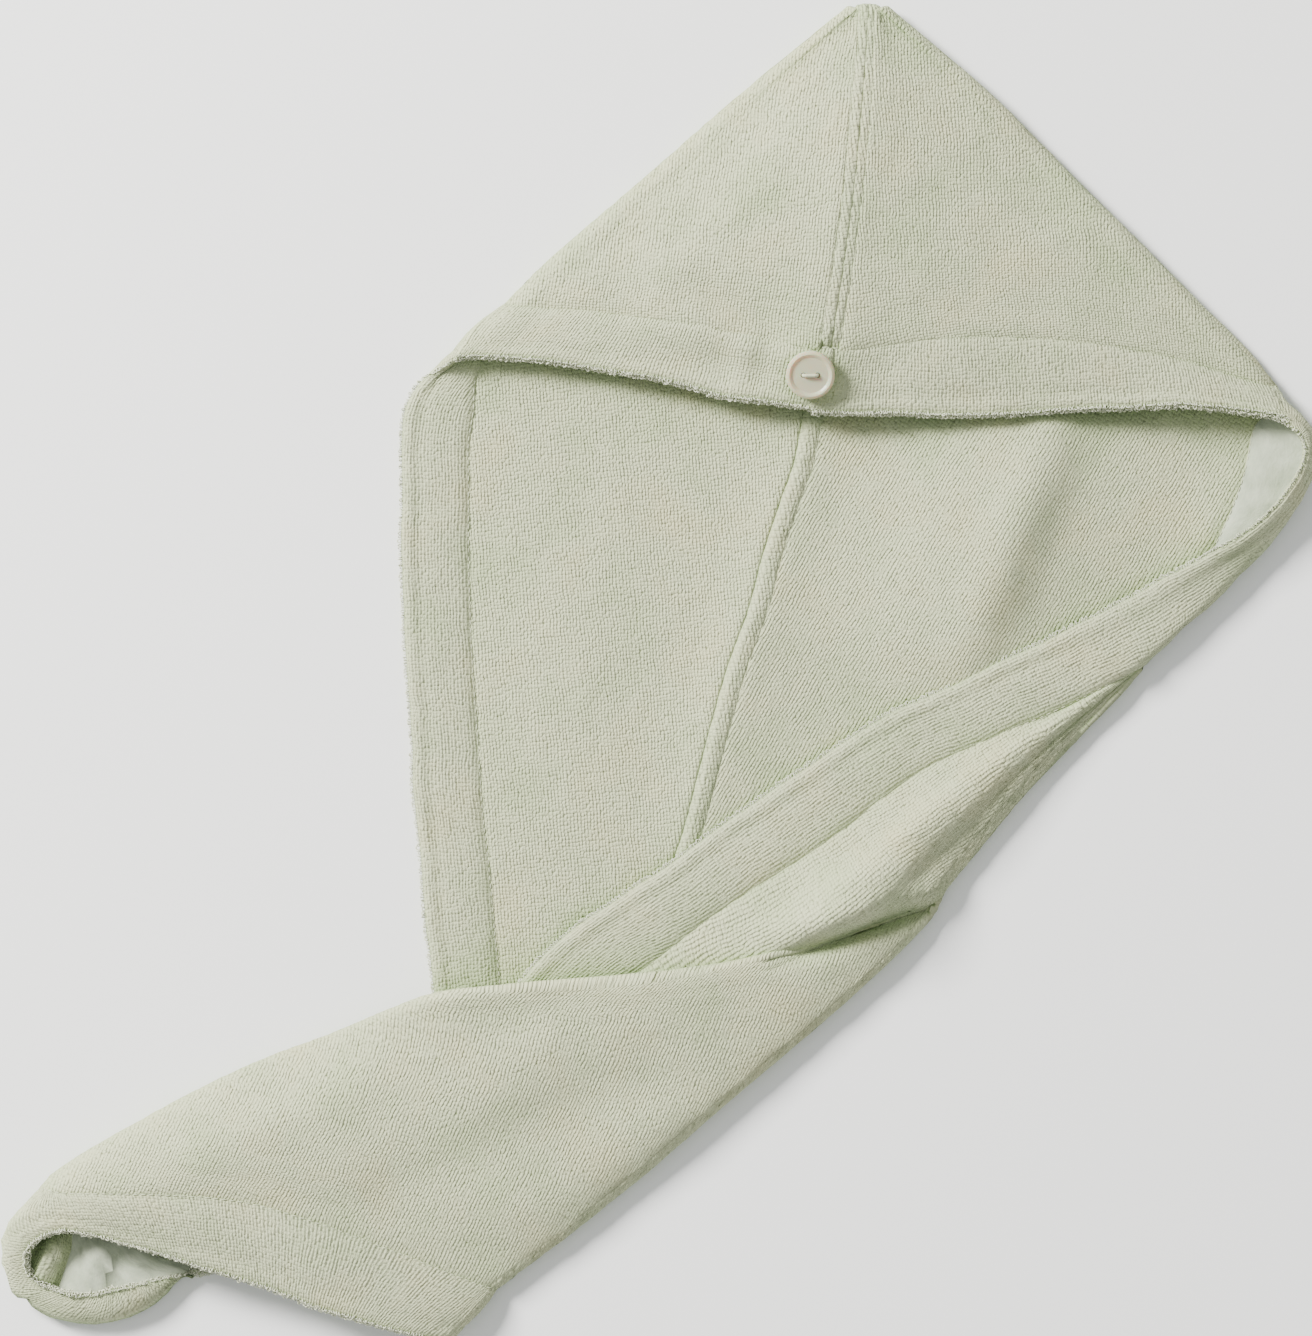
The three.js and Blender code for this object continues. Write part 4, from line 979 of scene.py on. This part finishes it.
def terry_material(name, light, shade, depth_mm):
    """Cotton terry: uncut loops woven in close columns. The eye sees a matt, soft grain without gloss, paler
    on the loops than between them. The gaps between the loops are darkened as painted shade, and cloth close
    to other cloth gets a painted green shade."""
    m = new_material(name)
    place = add_node(m, "ShaderNodeUVMap", {"uv_map": "cloth"})
    on_cloth = [("Vector", place, "UV")]
    # Columns wander by up to 1.1 mm to each side
    wander = add_node(m, "ShaderNodeTexNoise", values={"Scale": 90.0, "Detail": 3.0}, links=on_cloth)
    drift_links = [(0, wander, "Color"), (2, place, "UV")]
    drift = add_node(m, "ShaderNodeVectorMath", MULTIPLY_ADD, {1: (0.0022, 0.0022, 0)}, drift_links)
    per_loop = (1 / (LOOP_LENGTH * MM), 1 / (LOOP_PITCH * MM), 1)
    stretch = add_node(m, "ShaderNodeMapping", values={"Scale": per_loop}, links=[("Vector", drift, 0)])
    # One dome for each loop, over a low rib for each column
    loops = add_node(
        m,
        "ShaderNodeTexVoronoi",
        {"voronoi_dimensions": "2D", "feature": "F1"},
        {"Scale": 1.0, "Randomness": 0.48},
        [("Vector", stretch, 0)],
    )
    parts = add_node(m, "ShaderNodeSeparateXYZ", links=[(0, stretch, 0)])
    turn = add_node(m, "ShaderNodeMath", MULTIPLY, {1: 2 * math.pi}, [(0, parts, "Y")])
    columns = add_node(m, "ShaderNodeMath", {"operation": "COSINE"}, links=[(0, turn, 0)])
    reach = add_node(m, "ShaderNodeMath", MULTIPLY, links=[(0, loops, "Distance"), (1, loops, "Distance")])
    dome = add_node(m, "ShaderNodeMath", MULTIPLY_ADD, {1: -1.0, 2: 0.85}, [(0, reach, 0)])
    ribbed = add_node(m, "ShaderNodeMath", MULTIPLY_ADD, {1: 0.13}, [(0, columns, 0), (2, dome, 0)])
    # Fibres of under a millimetre and clumps of about 6 mm
    fibre_values = {"Scale": 1300.0, "Detail": 3.0, "Roughness": 0.75}
    fibres = add_node(m, "ShaderNodeTexNoise", values=fibre_values, links=on_cloth)
    fuzzy = add_node(m, "ShaderNodeMath", MULTIPLY_ADD, {1: 0.55}, [(0, fibres, "Fac"), (2, ribbed, 0)])
    clump_values = {"Scale": 170.0, "Detail": 3.0, "Roughness": 0.6}
    clumps = add_node(m, "ShaderNodeTexNoise", values=clump_values, links=on_cloth)
    relief = add_node(m, "ShaderNodeMath", MULTIPLY_ADD, {1: 0.45}, [(0, clumps, "Fac"), (2, fuzzy, 0)])
    depth = {"Strength": 0.8, "Distance": depth_mm * MM}
    bump = add_node(m, "ShaderNodeBump", values=depth, links=[("Height", relief, 0)])
    # Painted shade: the colour runs from the shade colour in the gaps between loops to the light colour on
    # their tops, following the bump's relief
    painted_relief_shade = add_node(m, "ShaderNodeValToRGB", links=[("Fac", relief, 0)])
    set_stops(painted_relief_shade, [(0.55, shade), (1.0, light)])
    # Patches of some 45 mm where the pile lies another way
    patch_values = {"Scale": 22.0, "Detail": 4.0, "Roughness": 0.6}
    patches = add_node(m, "ShaderNodeTexNoise", values=patch_values, links=on_cloth)
    lay = add_node(m, "ShaderNodeValToRGB", links=[("Fac", patches, "Fac")])
    set_stops(lay, [(0.3, "#e8f0e2"), (0.5, "#fbfcf7"), (0.72, "#fff8ee")])
    tinted = add_node(m, "ShaderNodeMix", TINT, {0: 1.0}, [(6, painted_relief_shade, "Color"), (7, lay, "Color")])
    # Painted shade: cloth within 30 mm of other cloth is tinted darker and greener, the more closed in it is
    painted_shade_occlusion = add_node(m, "ShaderNodeAmbientOcclusion", {"samples": 6}, {"Distance": 0.03})
    less = {"operation": "SUBTRACT", "use_clamp": True}
    painted_shade_amount = add_node(m, "ShaderNodeMath", less, {0: 1.0}, [(1, painted_shade_occlusion, "AO")])
    painted_shade_tinted = add_node(
        m, "ShaderNodeMix", TINT, {7: linear("#b3d1a0")}, [(0, painted_shade_amount, 0), (6, tinted, 2)]
    )
    matt = {"Roughness": 0.95, "Specular IOR Level": 0.12}
    nap = {"Sheen Weight": 0.18, "Sheen Roughness": 0.55, "Sheen Tint": linear("#f4f3e8")}
    surface_links = [("Base Color", painted_shade_tinted, 2), ("Normal", bump, "Normal")]
    surface = add_node(m, "ShaderNodeBsdfPrincipled", values={**matt, **nap}, links=surface_links)
    add_node(m, "ShaderNodeOutputMaterial", links=[("Surface", surface, "BSDF")])
    return m


def lining_material():
    """The back of the hem's cloth, plain woven cotton. The eye sees it flatter and smoother than the loops,
    with fine threads and soft creases."""
    m = new_material("sage cotton, plain woven back")
    place = add_node(m, "ShaderNodeUVMap", {"uv_map": "cloth"})
    on_cloth = [("Vector", place, "UV")]
    thread_values = {"Scale": 900.0, "Detail": 3.0, "Roughness": 0.7}
    threads = add_node(m, "ShaderNodeTexNoise", values=thread_values, links=on_cloth)
    crease_values = {"Scale": 120.0, "Detail": 3.0, "Roughness": 0.6}
    creases = add_node(m, "ShaderNodeTexNoise", values=crease_values, links=on_cloth)
    both = add_node(m, "ShaderNodeMath", MULTIPLY_ADD, {1: 1.4}, [(0, creases, "Fac"), (2, threads, "Fac")])
    depth = {"Strength": 0.5, "Distance": 0.5 * MM}
    bump = add_node(m, "ShaderNodeBump", values=depth, links=[("Height", both, 0)])
    # Painted shade: the colour follows the creases' relief and is darker in their hollows, and both stops lie
    # darker than the loop colour for the shaded inside where the back shows
    painted_relief_shade = add_node(m, "ShaderNodeValToRGB", links=[("Fac", creases, "Fac")])
    set_stops(painted_relief_shade, [(0.3, "#9ea78f"), (0.7, "#bac1aa")])
    matt = {"Roughness": 0.85, "Specular IOR Level": 0.2, "Sheen Weight": 0.1}
    surface_links = [("Base Color", painted_relief_shade, "Color"), ("Normal", bump, "Normal")]
    surface = add_node(m, "ShaderNodeBsdfPrincipled", values=matt, links=surface_links)
    add_node(m, "ShaderNodeOutputMaterial", links=[("Surface", surface, "BSDF")])
    return m


# The second colour of each terry is the painted shade in the gaps between the loops
terry = terry_material("sage cotton terry, looped pile", "#c4c8a6", "#7f8860", 1.45)
hem_terry = terry_material("sage cotton terry, hemmed double", "#c2c6a5", "#858d66", 1.3)
lining = lining_material()
# Loose loops at a cut edge catch light from every side, so the edge looks pale and soft; their colour is set
# paler than the cloth's as a painted highlight
loop_matt = {"Roughness": 0.95, "Sheen Weight": 0.25}
loop_cotton = plain_material("sage cotton loops, loose at the edge", "#c9ccb3", loop_matt)
# Cast polyester, polished: light goes in and comes out again, so it glows a little and has a soft gloss
gloss = {"Roughness": 0.34, "IOR": 1.5, "Transmission Weight": 0.35}
depth_glow = {"Subsurface Weight": 0.5, "Subsurface Scale": 0.006}
plastic = plain_material("cream polyester button, polished", "#dcd6b6", {**gloss, **depth_glow})
# Spun thread, matt and a little darker than the cloth
cotton = plain_material("sage cotton sewing thread", "#b9bc9f", {"Roughness": 0.85})
# Uncoated paper, so that the towel's shadow is the only thing to see on it
paper = plain_material("white paper sweep", "#fbfbfa", {"Roughness": 0.9})

# Pieces
left_cloth = half_cloth(
    "left_cloth",
    left,
    END_ROW,
    [(0, 99, True, GRAIN_FLAP_LEFT), (0, 99, False, GRAIN_BACK_LEFT)],
    terry,
)
right_cloth = half_cloth(
    "right_cloth",
    right,
    CORNER_ROW + 1,
    [
        (0, FLAP_ROW, True, GRAIN_FLAP_RIGHT),
        (CORNER_ROW + 1, GROOVE_ROW + 0.5, True, GRAIN_FOLD_OVER),
        (GROOVE_ROW + 0.5, 99, True, GRAIN_TAIL),
        (0, GROOVE_ROW, False, GRAIN_BACK_RIGHT),
        (GROOVE_ROW, 99, False, GRAIN_TAIL),
    ],
    terry,
)
left_band = hem_band(
    "left_hem_band",
    left,
    left_stations(left),
    END_ROW,
    [(0, True), (FOLD_COLUMN + 0.5, False)],
    hem_terry,
)
right_band = hem_band(
    "right_hem_band",
    right,
    right_stations(right),
    CORNER_ROW + 1,
    [(0, True), (FOLD_COLUMN + 1, False)],
    hem_terry,
    (lining, FOLD_COLUMN + 0.2, FOLD_COLUMN + 5.2, 1),
)
tail_end = end_hem(hem_terry, lining)
seam_cloth = seam_strip(hem_terry)

# Small shapes that repeat: the pitch of the stitches, their thread's radius and height over the groove
STITCH_PITCH = 3.6
STITCH_THREAD = 0.3
STITCH_RISE = 1.0
# The loose loops' radius, their thread's radius and their spacing
LOOP_RADIUS = 0.62
LOOP_THREAD = 0.2
LOOP_SPACING = 0.75


def lifted_shape():
    """Points and faces of the shape just added, which itself goes."""
    made = bpy.context.object
    points = np.array([vertex.co[:] for vertex in made.data.vertices])
    faces = [list(polygon.vertices) for polygon in made.data.polygons]
    bpy.data.objects.remove(made)
    return points, faces


def length_along(points):
    return np.linalg.norm(np.diff(points, axis=0, prepend=points[:1]), axis=-1).cumsum()


def read_line(line, length, spot):
    return np.array([np.interp(spot, length, line[:, k]) for k in range(3)])


def copied_piece(name, copies, faces, material):
    """One piece of placed copies of a small shape."""
    polygons = [[k + i * len(copy) for k in face] for i, copy in enumerate(copies) for face in faces]
    return new_piece(name, np.concatenate(copies).tolist(), polygons, material)


def edge_loops(name, lines, seed):
    """The pile's loops that stand out along the free edges, each a small bent thread of few faces."""
    bpy.ops.object.select_all(action="DESELECT")
    bpy.ops.mesh.primitive_torus_add(
        major_segments=8, minor_segments=4, major_radius=LOOP_RADIUS * MM, minor_radius=LOOP_THREAD * MM
    )
    shape, faces = lifted_shape()
    dice = np.random.RandomState(seed)
    copies = []
    for points, outward in lines:
        length = length_along(points)
        for spot in np.arange(0.5, length[-1], LOOP_SPACING):
            spot += dice.uniform(-0.4, 0.4)
            place = read_line(points, length, spot)
            out = read_line(outward, length, spot) + dice.normal(0, 0.22, 3)
            out /= np.linalg.norm(out)
            side = np.cross(out, dice.normal(0, 1, 3))
            side /= np.linalg.norm(side)
            turned = np.stack([out * dice.uniform(1.0, 1.5), side, np.cross(out, side)])
            grown = dice.uniform(0.8, 1.25)
            placed = grown * shape @ turned + (place + out * dice.uniform(-0.5, 0.6)) * MM
            placed[:, 2] = np.maximum(placed[:, 2], 0.1 * MM)
            copies.append(placed)
    return copied_piece(name, copies, faces, loop_cotton)


def sewn_stitches(name, lines, material):
    """Lock stitches that lie in the hems' grooves, modelled once and copied along the lines."""
    bpy.ops.object.select_all(action="DESELECT")
    bpy.ops.mesh.primitive_uv_sphere_add(segments=8, ring_count=5, radius=STITCH_THREAD * MM)
    shape, faces = lifted_shape()
    shape[:, 0] *= 0.38 * STITCH_PITCH / STITCH_THREAD
    copies = []
    for points in lines:
        length = length_along(points)
        for spot in np.arange(STITCH_PITCH, length[-1] - STITCH_PITCH, STITCH_PITCH):
            here, ahead, back = (read_line(points, length, spot + step) for step in (0, 1, -1))
            way = (ahead - back) / np.linalg.norm(ahead - back)
            side = np.cross([0, 0, 1], way)
            side /= np.linalg.norm(side)
            turned = np.stack([way, side, np.cross(way, side)])
            copies.append(shape @ turned + (here + np.array([0, 0, STITCH_RISE])) * MM)
    return copied_piece(name, copies, faces, material)


left_fringe = edge_loops("left_hem_loops", EDGES["left_hem_band"], 51)
right_fringe = edge_loops("right_hem_loops", EDGES["right_hem_band"], 52)
tail_fringe = edge_loops("tail_hem_loops", EDGES["tail_end_hem"], 53)
stitches = sewn_stitches("hem_stitches", SEWN, cotton)

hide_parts("left_panel")
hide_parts("right_panel")
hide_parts("left_hem")
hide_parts("right_hem")
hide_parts("tail_hem")
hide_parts("centre_seam")

# The button and its thread keep their solids
for name, material in (("button", plastic), ("button_thread", cotton)):
    node = bpy.data.objects[name]
    node.data.materials.clear()
    node.data.materials.append(material)

# Floor, light and camera
bpy.ops.mesh.primitive_plane_add(size=8, location=(0, 0, 0))
floor = bpy.context.object
floor.name = "floor"
floor.data.materials.append(paper)

world = bpy.data.worlds.new("soft room")
bpy.context.scene.world = world
world.use_nodes = True
world.node_tree.nodes["Background"].inputs["Color"].default_value = (0.975, 1, 0.985, 1)
world.node_tree.nodes["Background"].inputs["Strength"].default_value = 0.68


def soft_light(name, place, size, power):
    light = bpy.data.lights.new(name, "AREA")
    light.energy = power
    light.size = size
    light.color = (1, 0.985, 0.96)
    lamp = bpy.data.objects.new(name, light)
    bpy.context.scene.collection.objects.link(lamp)
    lamp.location = place
    direction = -np.array(place)
    lamp.rotation_euler = (
        0,
        math.atan2(math.hypot(direction[0], direction[1]), -direction[2]) * -1,
        math.atan2(direction[1], direction[0]),
    )


soft_light("window", (-2.7, 1.9, 2.0), 1.2, 525)

camera = bpy.data.cameras.new("camera")
camera.lens = 135
camera.sensor_width = 36
eye = bpy.data.objects.new("camera", camera)
bpy.context.scene.collection.objects.link(eye)
bpy.context.scene.camera = eye
# the picture's long side is the plan's length
eye.location = (-MIDDLE[0] * MM, -MIDDLE[1] * MM, PLAN_LENGTH * MM * camera.lens / camera.sensor_width)
camera.clip_end = 20
